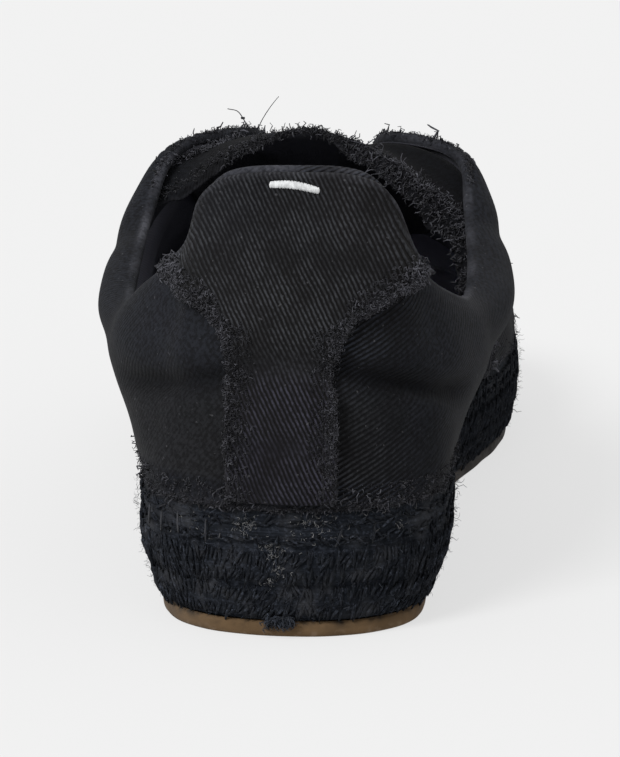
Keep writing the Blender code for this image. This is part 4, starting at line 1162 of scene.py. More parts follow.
def weave_upper(mesh, skin, order):
    """The cloth plane of each panel, and how strongly its ribs and its wear show."""
    rows = order.shape[1]
    points = len(mesh.vertices)
    picked = np.concatenate([np.arange(SKIN_ROWS + 1), [SKIN_ROWS] * RIM_STEPS,
                             np.arange(SKIN_ROWS, -1, -INNER_STEP)])
    turn = np.repeat(skin.turn[:, None], rows, 1)

    def spread(values):
        """One value a point of the mesh, from one a place in the order's layout."""
        field = np.zeros(points)
        field[order.ravel()] = np.broadcast_to(values, order.shape).ravel()
        return field

    around = around_of(turn)
    side = np.where((turn == 0.0) | (turn == 1.0), 0.0, side_of(turn))
    side = np.where((around >= THROAT - 1e-9) & (skin.up[picked][None, :] > 0.9999), 0.0, side)
    rise = skin.rise[:, picked] / MM
    spare = skin.rise[:, -1:] / MM - rise
    forward = skin.forward[:, picked] / MM
    outer = np.arange(rows) <= SKIN_ROWS
    # Painted shadow low on the medial side from the heel forward, and painted shade along the lowest few millimetres
    # by the rope.
    shaded = 0.26 * smooth(26.0, 8.0, rise) * smooth(12.0, 30.0, forward) * (side < 0) * outer
    shaded = np.maximum(shaded, 0.20 * smooth(6.3, 5.2, rise) * outer)
    # Painted shade on the inner face just under the rim.
    below_rim = 0.85 * smooth(9.0, 2.5, spare) * (np.arange(rows) > INNER_START)
    soil = spread(FOLD_PAINTED_SHADE * skin.fold[:, picked] + below_rim + shaded)
    beyond = np.clip(np.arange(rows) - SKIN_ROWS, 0, RIM_STEPS + 1)[None, :]
    at, up, side, ahead, over = (spread(values) for values in (around, skin.up[picked], side, forward,
                                                               rise + beyond * 0.8))
    spare, along = spread(spare), spread(-skin.points[:, picked, 1] / MM)
    corners, faces = corner_points(mesh), face_of_corners(mesh)
    counts = np.bincount(faces)

    def mean(values):
        return (np.bincount(faces, weights=values[corners]) / counts)[faces]

    face_side = np.sign(mean(side))
    panels = {name: turn_plane(ahead[corners], over[corners], ribs) for name, ribs in QUARTER_RIBS.items()}
    vamp = turn_plane(face_side * spare[corners], along[corners], VAMP_RIBS)
    quarter = np.where(face_side[:, None] > 0, panels[LATERAL], panels[MEDIAL])
    on_quarter = mean(at) < quarter_front(mean(up))
    put_plane(mesh, WEAVE, np.where(on_quarter[:, None], quarter, vamp))
    front = quarter_front(up) - at
    on_quarter = smooth(0.0, 0.02, front)
    inner_show = RIB_SHOW[MEDIAL] * (0.12 + 0.88 * smooth(36.0, 19.0, ahead))
    show = np.where(side >= 0, RIB_SHOW[LATERAL], inner_show)
    wide = ahead / 12.0 * np.where(side >= 0, 1.0, -1.0)
    patch = 1.0 + 0.45 * soft_noise(wide, over / 9.0, 21)
    # Along the rim: pale rubbed specks, partly real rubbing and partly a painted highlight on the rolled edge.
    rim = bell(np.clip(spare, 0.0, None), 0.55) * (0.30 + 0.25 * ragged_line(wide * 6.0, 22))
    seam = bell(front * SIDE_LENGTH, 0.9) * 0.4
    foot = bell(over, 1.6) * 0.15
    high = smooth(0.046, 0.058, np.array([vertex.co.z for vertex in mesh.vertices]))
    put_fields(
        mesh,
        lines=np.clip((show * on_quarter + RIB_SHOW["vamp"] * (1.0 - on_quarter)) * patch, 0.05, 1.4),
        soil=np.clip(soil, 0.0, 0.85),
        # painted light deep inside toward the toe, where the lining lies in shadow
        deep=smooth(75.0, 120.0, along),
        tint=np.maximum(np.maximum(high, smooth(7.0, 4.5, over)), smooth(14.0, 34.0, ahead) * (side < 0)),
        wear=np.clip(rim * (0.25 + 0.40 * smooth(0.46, 0.42, at)) + seam + foot, 0.0, 1.0))


def build_upper(sizes, colours):
    skin = shoe_skin(sizes.crease_depth)
    order = upper_order(skin)
    mesh = make_mesh("upper_canvas", upper_wall(skin).reshape(-1, 3), upper_faces(skin, order))
    weave_upper(mesh, skin, order)
    row_of = np.zeros(len(mesh.vertices), int)
    row_of[order.ravel()] = np.tile(np.arange(order.shape[1]), order.shape[0])
    corners, faces = corner_points(mesh), face_of_corners(mesh)
    lowest = np.full(len(mesh.polygons), order.shape[1])
    np.minimum.at(lowest, faces, row_of[corners])
    highest = np.zeros(len(mesh.polygons), int)
    np.maximum.at(highest, faces, row_of[corners])
    inside = (lowest >= INNER_START) | ((highest - lowest > 4) & (lowest == 0))
    cloths = [twill_cloth("canvas_black", sizes, colours, 1.0, QUARTER_PITCH, 0.66),
              lining_cloth("canvas_lining", colours)]
    for cloth in cloths:
        mesh.materials.append(cloth)
    mesh.polygons.foreach_set("material_index", inside.astype(np.int32))
    item = new_object(mesh)
    punch_eyelets(item, skin)
    finish_piece(item, cloths, "black_canvas", "upper")


# ---- a sheet with a raw edge
def thick_patch(points, outward, thickness, cells=None):
    """A closed sheet over the marked cells of a grid: outer face, inner face and a rounded raw edge."""
    rows, columns = points.shape[:2]
    if cells is None:
        cells = np.ones((rows - 1, columns - 1), bool)
    index = np.arange(rows * columns).reshape(rows, columns)
    top = sheet_faces(index)[cells.ravel()]
    flat, normals = points.reshape(-1, 3), outward.reshape(-1, 3)
    edges = {}
    for face in top:
        for a, b in zip(face, np.roll(face, -1)):
            edges[(int(a), int(b))] = face
    border = [(a, b) for a, b in edges if (b, a) not in edges]
    inward = np.zeros((rows * columns, 3))
    for a, b in border:
        centre = flat[edges[(a, b)]].mean(0)
        inward[a] += centre - (flat[a] + flat[b]) / 2.0
        inward[b] += centre - (flat[a] + flat[b]) / 2.0
    away = unit(-(inward - (inward * normals).sum(1, keepdims=True) * normals))
    count = rows * columns
    under = flat - normals * np.asarray(thickness).reshape(-1, 1)
    middle = (flat + under) / 2.0 + away * np.asarray(thickness).reshape(-1, 1) * 0.35
    faces = [top, (top + 2 * count)[:, ::-1]]
    walls = [(b, a, a + count, b + count) for a, b in border]
    walls += [(b + count, a + count, a + 2 * count, b + 2 * count) for a, b in border]
    everything = np.vstack([flat, middle, under])
    stacked = np.vstack([*faces, np.array(walls)])
    used = np.unique(stacked)
    renumber = np.full(len(everything), -1)
    renumber[used] = np.arange(len(used))
    return everything[used], renumber[stacked], used


def outward_of(points, hint):
    """Normals of a grid, turned as a whole toward the hint."""
    normals = unit(np.cross(np.gradient(points, axis=0), np.gradient(points, axis=1)))
    return normals if (normals * hint).sum() > 0.0 else -normals


# ---- the tongue
TONGUE_HALF = 46
TONGUE_ROWS = 70
HEM_ROWS = 6


def tongue_half(skin, edge, across, forward):
    """Points of one half of the tongue's sheet: rows run forward, columns from inside the quarter to the middle."""
    f, a = (grid.ravel() for grid in np.meshgrid(forward, across, indexing="ij"))
    low_share = a / TONGUE_KNEE
    high_share = (a - TONGUE_KNEE) / (1.0 - TONGUE_KNEE)
    back = np.where(a < TONGUE_KNEE, edge.back_low + (edge.back_high - edge.back_low) * low_share,
                    edge.back_high + (TONGUE_BACK_CENTRE - edge.back_high) * high_share)
    around = back + (TONGUE_ROOT - back) * f
    middle = TONGUE_BACK_CENTRE + (TONGUE_ROOT - TONGUE_BACK_CENTRE) * f
    knee = TONGUE_KNEE + (1.0 - TONGUE_KNEE) * smooth(0.56, THROAT, middle)
    leave_at = edge.leave + (1.0 - edge.leave) * smooth(0.42, 0.56, middle)
    low = edge.low_at_back + (edge.low_at_root - edge.low_at_back) * f
    turn = turn_at(edge.side, around)
    inside = skin.within(turn, low + (leave_at - low) * np.minimum(a / knee, 1.0), TONGUE_CLEARANCE)
    start = skin.within(turn, leave_at, TONGUE_CLEARANCE)
    leave = unit(start - skin.within(turn, leave_at - 0.06, TONGUE_CLEARANCE))
    crown = read(CROWN_CURVE, around)
    centre = np.stack([crown[:, 1], -crown[:, 0], crown[:, 2]], 1) - SHIFT
    gap = np.linalg.norm(centre - start, axis=1, keepdims=True)
    lean = (smooth(1.0, 0.85, leave_at) * 0.7)[:, None]
    leave = leave * (1.0 - lean) + (centre - start) / np.maximum(gap, 1e-9) * lean
    slope = edge.slope * smooth(0.60, 0.44, middle)[:, None]
    first = start + leave * gap * (0.33 - 0.5 * slope)
    second = centre + gap * 0.38 * (np.array([edge.side, 0.0, 0.0]) - slope * np.array([0.0, 0.0, 1.0]))
    share = np.clip((a - knee) / np.maximum(1.0 - knee, 1e-6), 0.0, 1.0)[:, None]
    over = cubic((start, first, second, centre), share)
    on_skin = (a <= knee) | (around >= THROAT)
    return np.where(on_skin[:, None], inside, over).reshape(len(forward), len(across), 3)


def tongue_grid(skin):
    """The whole sheet from its lateral to its medial edge, with the ragged back edge and soft wrinkles."""
    half = np.linspace(0.0, 1.0, TONGUE_HALF + 1)
    forward = np.linspace(0.0, 1.0, TONGUE_ROWS + 1)
    lateral, medial = (tongue_half(skin, edge, half, forward) for edge in TONGUE_EDGES)
    grid = np.concatenate([lateral, medial[:, -2::-1]], 1)
    columns = np.arange(grid.shape[1])
    back_run = unit(grid[3] - grid[0])
    ragged = 0.9 * ragged_line(columns / 2.3, 31) + 0.5 * ragged_line(columns / 0.9, 32)
    hump = 1.6 * bell(columns - TONGUE_HALF * 0.93, 4.0)
    fade = smooth(0.12, 0.0, forward)[:, None, None]
    grid -= back_run[None] * ((ragged + hump) * MM)[None, :, None] * fade
    normals = outward_of(grid, UPWARD)
    free = smooth(0.40, 0.60, np.minimum(columns, columns[::-1]) / TONGUE_HALF)[None, :]
    free = free * smooth(0.72, 0.45, forward)[:, None]
    run, over = np.meshgrid(forward * 16.0, columns / 6.5, indexing="ij")
    grid += normals * ((0.45 * soft_noise(run, over, 33) - 0.5) * MM * free)[..., None]
    sag = bell(columns - TONGUE_HALF * 1.24, 4.5)[None, :] * bell(forward * TONGUE_ROWS - 14.0, 9.0)[:, None]
    grid[..., 2] -= 2.4 * MM * sag
    return grid


def hemmed_tongue(skin):
    """The tongue with the loosened cloth that hangs from its raw back edge, deepest on the medial side: its grid
    and the ways out of it."""
    grid = tongue_grid(skin)
    columns = np.arange(grid.shape[1])
    way = columns / TONGUE_HALF
    inner, outer = smooth(1.00, 1.25, way), smooth(0.62, 0.40, way)
    ragged = 1.0 + 0.25 * ragged_line(columns / 2.6, 34) + 0.12 * ragged_line(columns / 0.9, 35)
    drop = ((2.2 + 3.6 * inner - 1.4 * outer) * ragged * MM)[:, None]
    back = unit(grid[0] - grid[3])
    aside = inner[:, None] * (0.35 + 0.45 * smooth(1.25, 1.5, way))[:, None] * np.array([1.0, 0.0, 0.0])
    hem = []
    for step in range(HEM_ROWS, 0, -1):
        share = step / HEM_ROWS
        fall = (aside - np.array([0.0, 0.0, 0.9])) * share ** 1.4
        hem.append(grid[0] + drop * (back * 0.6 * share * (1.0 - 0.45 * share) + fall))
    grid = np.concatenate([np.array(hem), grid])
    return grid, outward_of(grid, UPWARD)


def build_tongue(sizes, colours):
    grid, normals = hemmed_tongue(shoe_skin(sizes.crease_depth))
    rows, columns = grid.shape[:2]
    depth = np.interp(np.arange(rows), (0, HEM_ROWS, HEM_ROWS + 2), (0.35, 0.75, 1.0)) * TONGUE_THICKNESS
    points, faces, used = thick_patch(grid, normals, np.repeat(depth[:, None], columns, 1))
    mesh = make_mesh("tongue_canvas", points, faces)
    place, under = used % (rows * columns), used // (rows * columns) == 2
    along = np.linalg.norm(np.diff(grid, axis=0), axis=-1).cumsum(0)
    across = np.linalg.norm(np.diff(grid, axis=1), axis=-1).cumsum(1)
    along = np.vstack([np.zeros((1, columns)), along]) / MM
    across = np.hstack([np.zeros((rows, 1)), across]) / MM
    put_plane(mesh, WEAVE, turn_plane(across.ravel(), along.ravel(), TONGUE_RIBS)[place])
    edge = np.minimum(along, np.minimum(across, across[:, -1:] - across)).ravel()[place]
    way = np.tile(np.arange(columns), rows)[place] / TONGUE_HALF
    beside, inner = smooth(0.66, 0.50, way), smooth(1.10, 1.30, way)
    # Painted shade: the tongue lies sunk between the flaps, so its colour is darkened all over, most at both sides
    # and on its underside, where its ribs also fade.
    put_fields(mesh, wear=0.35 * bell(edge, 0.8), lines=0.30 - 0.18 * beside - 0.15 * inner,
               tint=np.maximum(beside, smooth(1.0, 1.2, way)),
               soil=0.58 + 0.12 * beside + 0.27 * inner + under * 0.14 * beside)
    cloths = [twill_cloth("canvas_tongue", sizes, colours, 0.8), bpy.data.materials["canvas_lining"]]
    for cloth in cloths:
        mesh.materials.append(cloth)
    over = np.bincount(face_of_corners(mesh), weights=~under[corner_points(mesh)])
    mesh.polygons.foreach_set("material_index", (over == 0).astype(np.int32))
    finish_piece(new_object(mesh), cloths, "black_canvas", "tongue")


# ---- the heel overlay
STRIP_LOW = (STRIP_CENTRE - STRIP_WIDTH / 2.0) * MM
STRIP_HIGH = (STRIP_CENTRE + STRIP_WIDTH / 2.0) * MM
STRIP_EDGES = ((STRIP_LOW, 1.0), (STRIP_HIGH, -1.0))
WING_LOW, WING_HIGH = TAB_EDGE[0][0] * MM, TAB_EDGE[-1][0] * MM
WING_COLUMNS, STRIP_COLUMNS, FAR_WING_COLUMNS = 26, 30, 22
STRIP_ROWS, TAB_ROWS = 66, 44


def stay_grid(skin):
    """Outer face of the T-shaped overlay: a strip up the back that widens into a tab under the collar's edge."""
    stations = np.concatenate([np.linspace(WING_LOW, STRIP_LOW, WING_COLUMNS + 1)[:-1],
                               np.linspace(STRIP_LOW, STRIP_HIGH, STRIP_COLUMNS + 1),
                               np.linspace(STRIP_HIGH, WING_HIGH, FAR_WING_COLUMNS + 1)[1:]])
    first, last = WING_COLUMNS, WING_COLUMNS + STRIP_COLUMNS
    lower_edge = read(TAB_CURVE, stations)[:, 0]
    ragged = 0.45 * ragged_line(stations / MM / 1.1, 41)
    foot = heel_rise(stations, lower_edge + ragged * MM)
    strip = STRIP_FOOT_SHARE + (foot - STRIP_FOOT_SHARE) * np.linspace(0.0, 1.0, STRIP_ROWS + 1)[:-1, None]
    tab = foot + (TAB_TOP_SHARE - foot) * np.linspace(0.0, 1.0, TAB_ROWS + 1)[:, None]
    up = np.vstack([strip, tab])
    across = np.broadcast_to(stations, up.shape).copy()
    height = form_point(heel_turn(across.ravel(), up.ravel()), up.ravel())[:, 2].reshape(up.shape)
    side_wave = 0.28 * ragged_line(height / MM / 1.4, 42)
    pull_in = bell(height / MM - 56.0, 3.0) * 0.35
    in_strip = (np.arange(len(up)) < STRIP_ROWS)[:, None]
    for edge, sign in ((first, 1.0), (last, -1.0)):
        share = bell(np.arange(len(stations)) - edge, 2.5)[None, :] * in_strip
        across += share * (side_wave + sign * pull_in) * MM
    turn = heel_turn(across.ravel(), up.ravel()).reshape(up.shape)
    cells = np.ones((len(up) - 1, len(stations) - 1), bool)
    cells[:STRIP_ROWS, :first] = False
    cells[:STRIP_ROWS, last:] = False
    edge_off = np.minimum(stations - STRIP_LOW, STRIP_HIGH - stations)[None, :] / MM
    off = np.where(in_strip, edge_off, np.maximum(edge_off, (height - lower_edge[None, :]) / MM))
    top_off = (skin.rise_at(turn, np.ones(up.shape)) - skin.rise_at(turn, up)) / MM
    curl = 0.35 * smooth(2.2, 0.0, off)
    curl += 1.1 * smooth(3.0, 0.0, (stations - STRIP_LOW)[None, :] / MM * np.where(in_strip, 1.0, 9.0)) \
        * smooth(37.0, 42.0, height / MM) * smooth(57.0, 51.0, height / MM) * (stations < 0.0)
    wrinkle = 0.16 * soft_noise(across / MM / 3.4, height / MM / 4.2, 43) * smooth(0.0, 3.0, off)
    hem = -0.30 * bell(top_off - 1.7, 0.42)
    lift = STAY_LIFT + STAY_THICKNESS + (curl + wrinkle + hem) * MM
    fold = skin.pick(skin.fold[..., None], turn, up)[..., 0]
    fields = (field.ravel() for field in (across / MM, height / MM, off, top_off, fold))
    return skin.point(turn, up, lift), skin.way_out(turn, up), cells, fields


def build_heel_stay(sizes, colours):
    grid, normals, cells, fields = stay_grid(shoe_skin(sizes.crease_depth))
    points, faces, used = thick_patch(grid, normals, STAY_THICKNESS, cells)
    mesh = make_mesh("heel_stay_canvas", points, faces)
    across, height, off, top, fold = (field[used % grid[..., 0].size] for field in fields)
    put_plane(mesh, WEAVE, turn_plane(-across, height, STAY_RIBS))
    # Pale specks along the raw edges, and along the tab's folded top edge partly rubbed cloth and partly a painted
    # highlight.
    wear = 0.12 * bell(off, 0.7) + 0.38 * bell(top, 0.5) + 0.20 * bell(top - 1.1, 0.35)
    # Painted shade: the ribs fade in the two creases across the heel, near 58 and 41 mm up, and the creases darken
    # the cloth.
    painted_crease_shade_on_ribs = 1.0 - 0.50 * bell(height - 58.0, 3.5) - 0.35 * bell(height - 41.0, 3.0)
    put_fields(mesh, wear=np.clip(wear, 0.0, 1.0), lines=1.15 * painted_crease_shade_on_ribs, tint=smooth(60.0, 52.0, height),
               soil=np.clip(FOLD_PAINTED_SHADE * fold, 0.0, 0.6))
    cloth = twill_cloth("canvas_overlay", sizes, colours, 0.90, 1.0, 0.92, (1.00, 0.94, 1.15))
    finish_piece(new_object(mesh), cloth, "black_canvas_overlay", "heel_stay")


# ---- the soles
def ring_turns(half):
    lateral = np.linspace(0.0, 1.0, half + 1)
    return np.concatenate([lateral, 2.0 - lateral[-2:0:-1]])


def ring_solid(rings, caps=((0, 0.0), (-1, 0.0)), across=9):
    """A closed solid of rings, closed below and above by strips that run from side to side and may dish."""
    rings = np.asarray(rings)
    levels, count = rings.shape[:2]
    points = [rings.reshape(-1, 3)]
    index = np.arange(levels * count).reshape(levels, count)
    ahead = np.roll(index, -1, 1)
    faces = [np.stack([index[:-1], ahead[:-1], ahead[1:], index[1:]], -1).reshape(-1, 4)]
    start = levels * count
    half = count // 2
    for level, dish in caps:
        ring = rings[level]
        numbers = index[level]
        share = np.linspace(0.0, 1.0, across + 1)[1:-1]
        rows = [np.full(across + 1, numbers[0])]
        for i in range(1, half):
            a, b = ring[i], ring[count - i]
            inner = a + (b - a) * share[:, None]
            inner[:, 2] += dish * np.sin(math.pi * share)
            points.append(inner)
            rows.append(np.concatenate([[numbers[i]], start + np.arange(across - 1), [numbers[count - i]]]))
            start += across - 1
        rows.append(np.full(across + 1, numbers[half]))
        sheet = sheet_faces(np.array(rows))
        faces.append(sheet[:, ::-1] if level else sheet)
    return np.vstack(points), np.vstack(faces)


def sole_rings(levels, turn, height, share=None):
    """Rings at (inset, rise or share) levels."""
    rings = []
    for inset, value in levels:
        ring = sole_ring(turn, inset, 1.0 if share is None else share(value))
        ring[:, 2] = height(-ring[:, 1], value)
        rings.append(ring - SHIFT)
    return rings


def build_gum_sole(sizes, colours):
    turn = ring_turns(230)
    wave = 0.10 * MM * soft_noise(np.cos(turn * math.pi) * 30.0, np.sin(turn * math.pi) * 30.0, 51)
    top = OUTSOLE_THICKNESS
    levels = ((0.0011, 0.0), (0.0005, 0.0001), (0.0001, 0.0006), (0.0, 0.0014), (0.0, top - 0.0007),
              (0.0002, top - 0.0002), (0.0008, top))
    rings = sole_rings([(OUTSOLE_INSET + inset + wave, rise) for inset, rise in levels], turn,
                       lambda along, rise: ground_height(along) + rise, lambda rise: 0.0)
    points, faces = ring_solid(rings, across=14)
    mesh = make_mesh("outsole_gum", points, faces)
    rise = points[:, 2] - ground_height(-(points[:, 1] + SHIFT[1]))
    # the top of the gum, under the rope, is marked for painted shade
    put_fields(mesh, grime=smooth(0.0018, 0.0032, rise), tread=rise < 0.00003)
    finish_piece(new_object(mesh), gum_rubber("gum_rubber", colours), "brown_gum", "outsole")


def build_footbed(sizes, colours):
    edge = UPPER_INSET + WALL + FIT_GAP + 0.0004
    levels = ((edge, FIT_GAP), (edge, INSOLE_THICKNESS * 0.75), (edge + 0.0004, INSOLE_THICKNESS * 0.92),
              (edge + 0.0014, INSOLE_THICKNESS))
    rings = sole_rings(levels, ring_turns(150), lambda along, rise: seat_height(along) + rise)
    points, faces = ring_solid(rings, ((0, 0.0), (-1, -0.0007)), 16)
    mesh = make_mesh("footbed", points, faces)
    x, y = points[:, 0] / MM, points[:, 1] / MM
    put_plane(mesh, WEAVE, turn_plane(x, y, (0.0, 1.0)))
    # painted light on the footbed toward the toe, deep inside the shoe
    put_fields(mesh, wear=0.10 * bell(y - 100.0, 25.0), deep=smooth(20.0, 80.0, -y))
    finish_piece(new_object(mesh), lining_cloth("footbed_cloth", colours, 1.1), "footbed_cloth", "insole")


ROPE_ROWS = 3
ROPE_PROUD = (-0.10, -0.05, -0.55)
STRAND_SLANT = math.radians(98.0)
STRAND_KINDS = 6


class RopeWall:
    """The rope sole's side, read at any turn and share up: places, ways out, ways up and ways round."""

    def __init__(self):
        self.turn = np.linspace(0.0, 2.0, 1601)
        ring = sole_ring(self.turn, 0.0, 0.5)
        steps = np.linalg.norm(np.diff(ring, axis=0), axis=1)
        self.arc = np.concatenate([[0.0], np.cumsum(steps)])

    def turn_at_arc(self, arc):
        return np.interp(np.asarray(arc) % self.arc[-1], self.arc, self.turn)

    def place(self, turn, share, proud=0.0):
        ring = sole_ring(turn, -np.asarray(proud), share)
        ring[:, 2] = rope_height(-ring[:, 1], share)
        return ring - SHIFT

    def frame(self, turn, share):
        round_it = unit(self.place(turn + 0.002, share) - self.place(turn - 0.002, share))
        rise = unit(self.place(turn, np.clip(share + 0.05, 0, 1)) - self.place(turn, np.clip(share - 0.05, 0, 1)))
        out = unit(np.cross(rise, round_it))
        return round_it, rise, out


def strand_shapes(seed):
    """Short fat strands, one unit long and one unit thick, pointed at both ends and a little bowed."""
    draw = np.random.default_rng(seed)
    share = np.linspace(0.0, 1.0, 5)
    shapes = []
    for _ in range(STRAND_KINDS):
        bow = draw.uniform(0.3, 0.7)
        path = np.stack([share - 0.5, draw.uniform(-0.25, 0.25) * np.sin(math.pi * 2.0 * share),
                         bow * np.sin(math.pi * share) - bow * 0.6], 1)
        shapes.append(tube(path, 0.5 * np.sin(math.pi * (0.06 + 0.88 * share)) ** 0.55))
    return shapes


def rope_bed(wall, sizes, rows, seed):
    """One strand at every pitch, in two lines for each wound row: steep and tousled below, nearly level on top."""
    draw = np.random.default_rng(seed)
    beds = []
    length = wall.arc[-1]
    for row, line in itertools.product(rows, (0, 1)):
        level = row == ROPE_ROWS - 1
        count = int(length / sizes.strand_pitch * (0.80 if level else 1.0))
        arc = (np.arange(count) + 0.5 * line) / count * length
        turn = wall.turn_at_arc(arc + 0.5 * sizes.strand_pitch * draw.standard_normal(count))
        share = (row + 0.27 + 0.46 * line) / ROPE_ROWS + draw.normal(0.0, 0.020, count)
        round_it, rise, out = wall.frame(turn, share)
        lean = soft_noise(arc / MM / 7.0, np.full(count, row * 2.0 + line * 0.7), seed + 3)
        steep = math.radians(9.0) * lean if level else STRAND_SLANT + math.radians(20.0) * lean
        slant = steep + draw.normal(0.0, 0.50 if level else 0.24, count)
        aim = round_it * np.cos(slant)[:, None] + rise * np.sin(slant)[:, None]
        proud = (ROPE_PROUD[row] - 0.45) * MM + draw.normal(0.0, 0.20, count) * MM
        clump = 0.30 * soft_noise(arc / MM / 7.0, np.full(count, row * 3.0 + line), seed + 5)
        clump = (0.28 if level else 0.48) + clump
        reach = sizes.strand_length * draw.uniform(0.7, 1.35, count) * (0.70 if level else 1.0)
        width = sizes.strand_width * draw.uniform(0.6, 1.25, count)
        beds.append(Bed(wall.place(turn, share, proud), aim, out, np.stack([reach, width, width * 0.9], 1),
                        draw.integers(0, STRAND_KINDS, count),
                        np.clip(clump + draw.normal(0.0, 0.20, count), 0.02, 1.0)))
    return medial_painted_shadow(join_beds(beds))


def medial_painted_shadow(bed):
    """Painted shadow: the rope's tones darkened along the medial side, from the waist forward."""
    x, y = bed.points[:, 0], bed.points[:, 1]
    return bed._replace(tones=bed.tones * (1.0 - 0.90 * smooth(-0.018, -0.032, x) * smooth(0.075, 0.045, y)))


def build_rope_sole(sizes, colours):
    levels = [(-(proud - (0.75 + 0.95 * (share > 0.70))) * MM, share) for share, proud in ROPE_SIDE]
    levels[0], levels[-1] = (0.0016, 0.0), (0.0020, 1.0)
    rings = sole_rings(levels, ring_turns(260), rope_height, lambda share: share)
    points, faces = ring_solid(rings, across=10)
    mesh = make_mesh("rope_core", points, faces)
    put_fields(mesh, tone=np.full(len(points), 0.10))
    put_plane(mesh, STRAND, points[:, [1, 2]] * 40.0)
    cord = jute("dyed_jute", colours)
    finish_piece(new_object(mesh), cord, "black_rope", "midsole")
    wall, shapes = RopeWall(), strand_shapes(61)
    for name, rows, seed in (("rope_strands_low", (0, 1), 62), ("rope_strands_top", (2,), 63)):
        plant(name, rope_bed(wall, sizes, rows, seed), shapes, 0.06, seed, cord, "black_rope")


# where the worn, pale loops of the blanket stitch stand, across the heel in millimetres
TICKS = (31.2, 28.4, 24.7, 18.7)


def edge_cord_bed(wall):
    """The blanket stitch that binds canvas to rope: upright loops over the top row, four of them worn pale."""
    draw = np.random.default_rng(64)
    length = wall.arc[-1]
    around = np.linspace(0.0, 0.30, 120)
    seen = wall.place(around, np.full(120, 0.85), 0.0)[:, 0]
    ticks = np.interp(np.array(TICKS) * MM - SHIFT[0], seen, around)
    count = int(length / (BLANKET_PITCH * MM))
    arc = np.arange(count) / count * length + draw.normal(0.0, 0.5, count) * MM
    plain = wall.turn_at_arc(arc)
    turn = np.concatenate([ticks, plain[(plain > 0.26) & (plain < 1.98)]])
    count = len(turn)
    pale = np.arange(count) < len(ticks)
    share = 0.80 + draw.normal(0.0, 0.02, count)
    round_it, rise, out = wall.frame(turn, share)
    lean = draw.normal(0.0, 0.12, count)[:, None]
    span = np.stack([draw.uniform(3.3, 4.1, count), np.full(count, 0.50), np.full(count, 0.50)], 1) * MM
    tone = np.where(pale, 0.40, 0.03) + draw.normal(0.0, 0.05, count)
    place = wall.place(turn, share, np.where(pale, -0.20, -0.45) * MM)
    return medial_painted_shadow(Bed(place, rise + round_it * lean, out, span, draw.integers(0, STRAND_KINDS, count),
                             np.clip(tone, 0.01, 1.0)))


FIBRES = 4500
FOOT_TUFT = 150
FLUFF_KINDS = 8


def rope_fuzz_bed(wall):
    """Dry fibres that stand off the jute, and a tuft that hangs over the gum at the back."""
    draw = np.random.default_rng(93)
    count = FIBRES
    turn = wall.turn_at_arc(draw.uniform(0.0, wall.arc[-1], count))
    share = draw.beta(1.0, 1.1, count) * 0.99
    round_it, rise, out = wall.frame(turn, share)
    angle = draw.uniform(0.0, 2.0 * math.pi, count)[:, None]
    flat = round_it * np.cos(angle) + rise * np.sin(angle)
    stand = draw.uniform(0.05, 0.9, count)[:, None] ** 1.6
    proud = (ROPE_PROUD[0] + 0.25) * MM + draw.normal(0.0, 0.15, count) * MM
    reach = draw.gamma(3.0, 0.27, count) * MM
    places, aims = wall.place(turn, share, proud), unit(flat * (1.0 - stand) + out * stand)
    high = places[:, 2] + np.minimum(aims[:, 2] - 0.4, 0.0) * reach > ground_height(-(places[:, 1] + SHIFT[1]))
    tone = draw.beta(1.3, 2.4, count)
    loose = Bed(*[field[high] for field in (places, aims, out, np.stack([reach] * 3, 1),
                                            draw.integers(0, FLUFF_KINDS, count), tone)])
    count = FOOT_TUFT
    turn, share = draw.uniform(0.003, 0.022, count), draw.uniform(0.0, 0.06, count)
    round_it, rise, out = wall.frame(turn, share)
    hang = -rise + round_it * draw.normal(0.0, 0.35, (count, 1)) + out * draw.uniform(0.0, 0.3, (count, 1))
    reach = draw.uniform(1.6, 2.5, count) * MM
    tuft = Bed(wall.place(turn, share, 0.25 * MM), hang, out, np.stack([reach, reach * 2.2, reach * 2.2], 1),
               draw.integers(0, FLUFF_KINDS, count), draw.uniform(0.0, 0.45, count))
    return medial_painted_shadow(join_beds([loose, tuft]))


# clusters of pale lint caught in the rope at the heel: across and height in millimetres, and how wide
Lint = namedtuple("Lint", "across height spread count")
LINT_TUFTS = (
    Lint(10.3, 24.2, 1.3, 70),
    Lint(4.2, 19.2, 1.5, 64),
    Lint(3.2, 15.0, 1.0, 24),
    Lint(5.9, 12.0, 1.0, 28),
    Lint(-3.8, 24.2, 3.0, 60),
    Lint(-21.0, 23.5, 0.6, 8),
    Lint(22.0, 26.0, 4.0, 26),
)

# short pale stitches that show between the strands: from and to across, height, slant and how many
Dash = namedtuple("Dash", "start end height slant count")
DASHES = (
    Dash(23.0, 14.5, 22.2, -0.95, 7),
    Dash(-7.5, -23.0, 26.6, 0.10, 6),
    Dash(-6.0, -20.0, 24.2, -0.25, 4),
    Dash(12.0, -4.0, 26.8, 0.15, 5),
)


def heel_targets(names):
    """A tree of the finished meshes round the heel, to find where a level line from behind meets them."""
    points, faces, start = [], [], 0
    for name in names:
        mesh = bpy.data.objects[name].data
        points += [vertex.co.copy() for vertex in mesh.vertices]
        faces += [[start + number for number in polygon.vertices] for polygon in mesh.polygons]
        start += len(mesh.vertices)
    return BVHTree.FromPolygons(points, faces)


def from_behind(tree, across, height):
    """Where level lines from behind the heel, at places across the pattern, meet the shoe: places, ways out, and
    which ones met it."""
    places, normals, met = [], [], []
    for x, z in zip(across - SHIFT[0], height):
        place, normal, _, _ = tree.ray_cast(Vector((x, 0.3, z)), Vector((0.0, -1.0, 0.0)))
        met.append(place is not None)
        places.append(tuple(place) if place else (0.0, 0.0, 0.0))
        normals.append(tuple(normal) if place else (0.0, 1.0, 0.0))
    return np.array(places), np.array(normals), np.array(met)


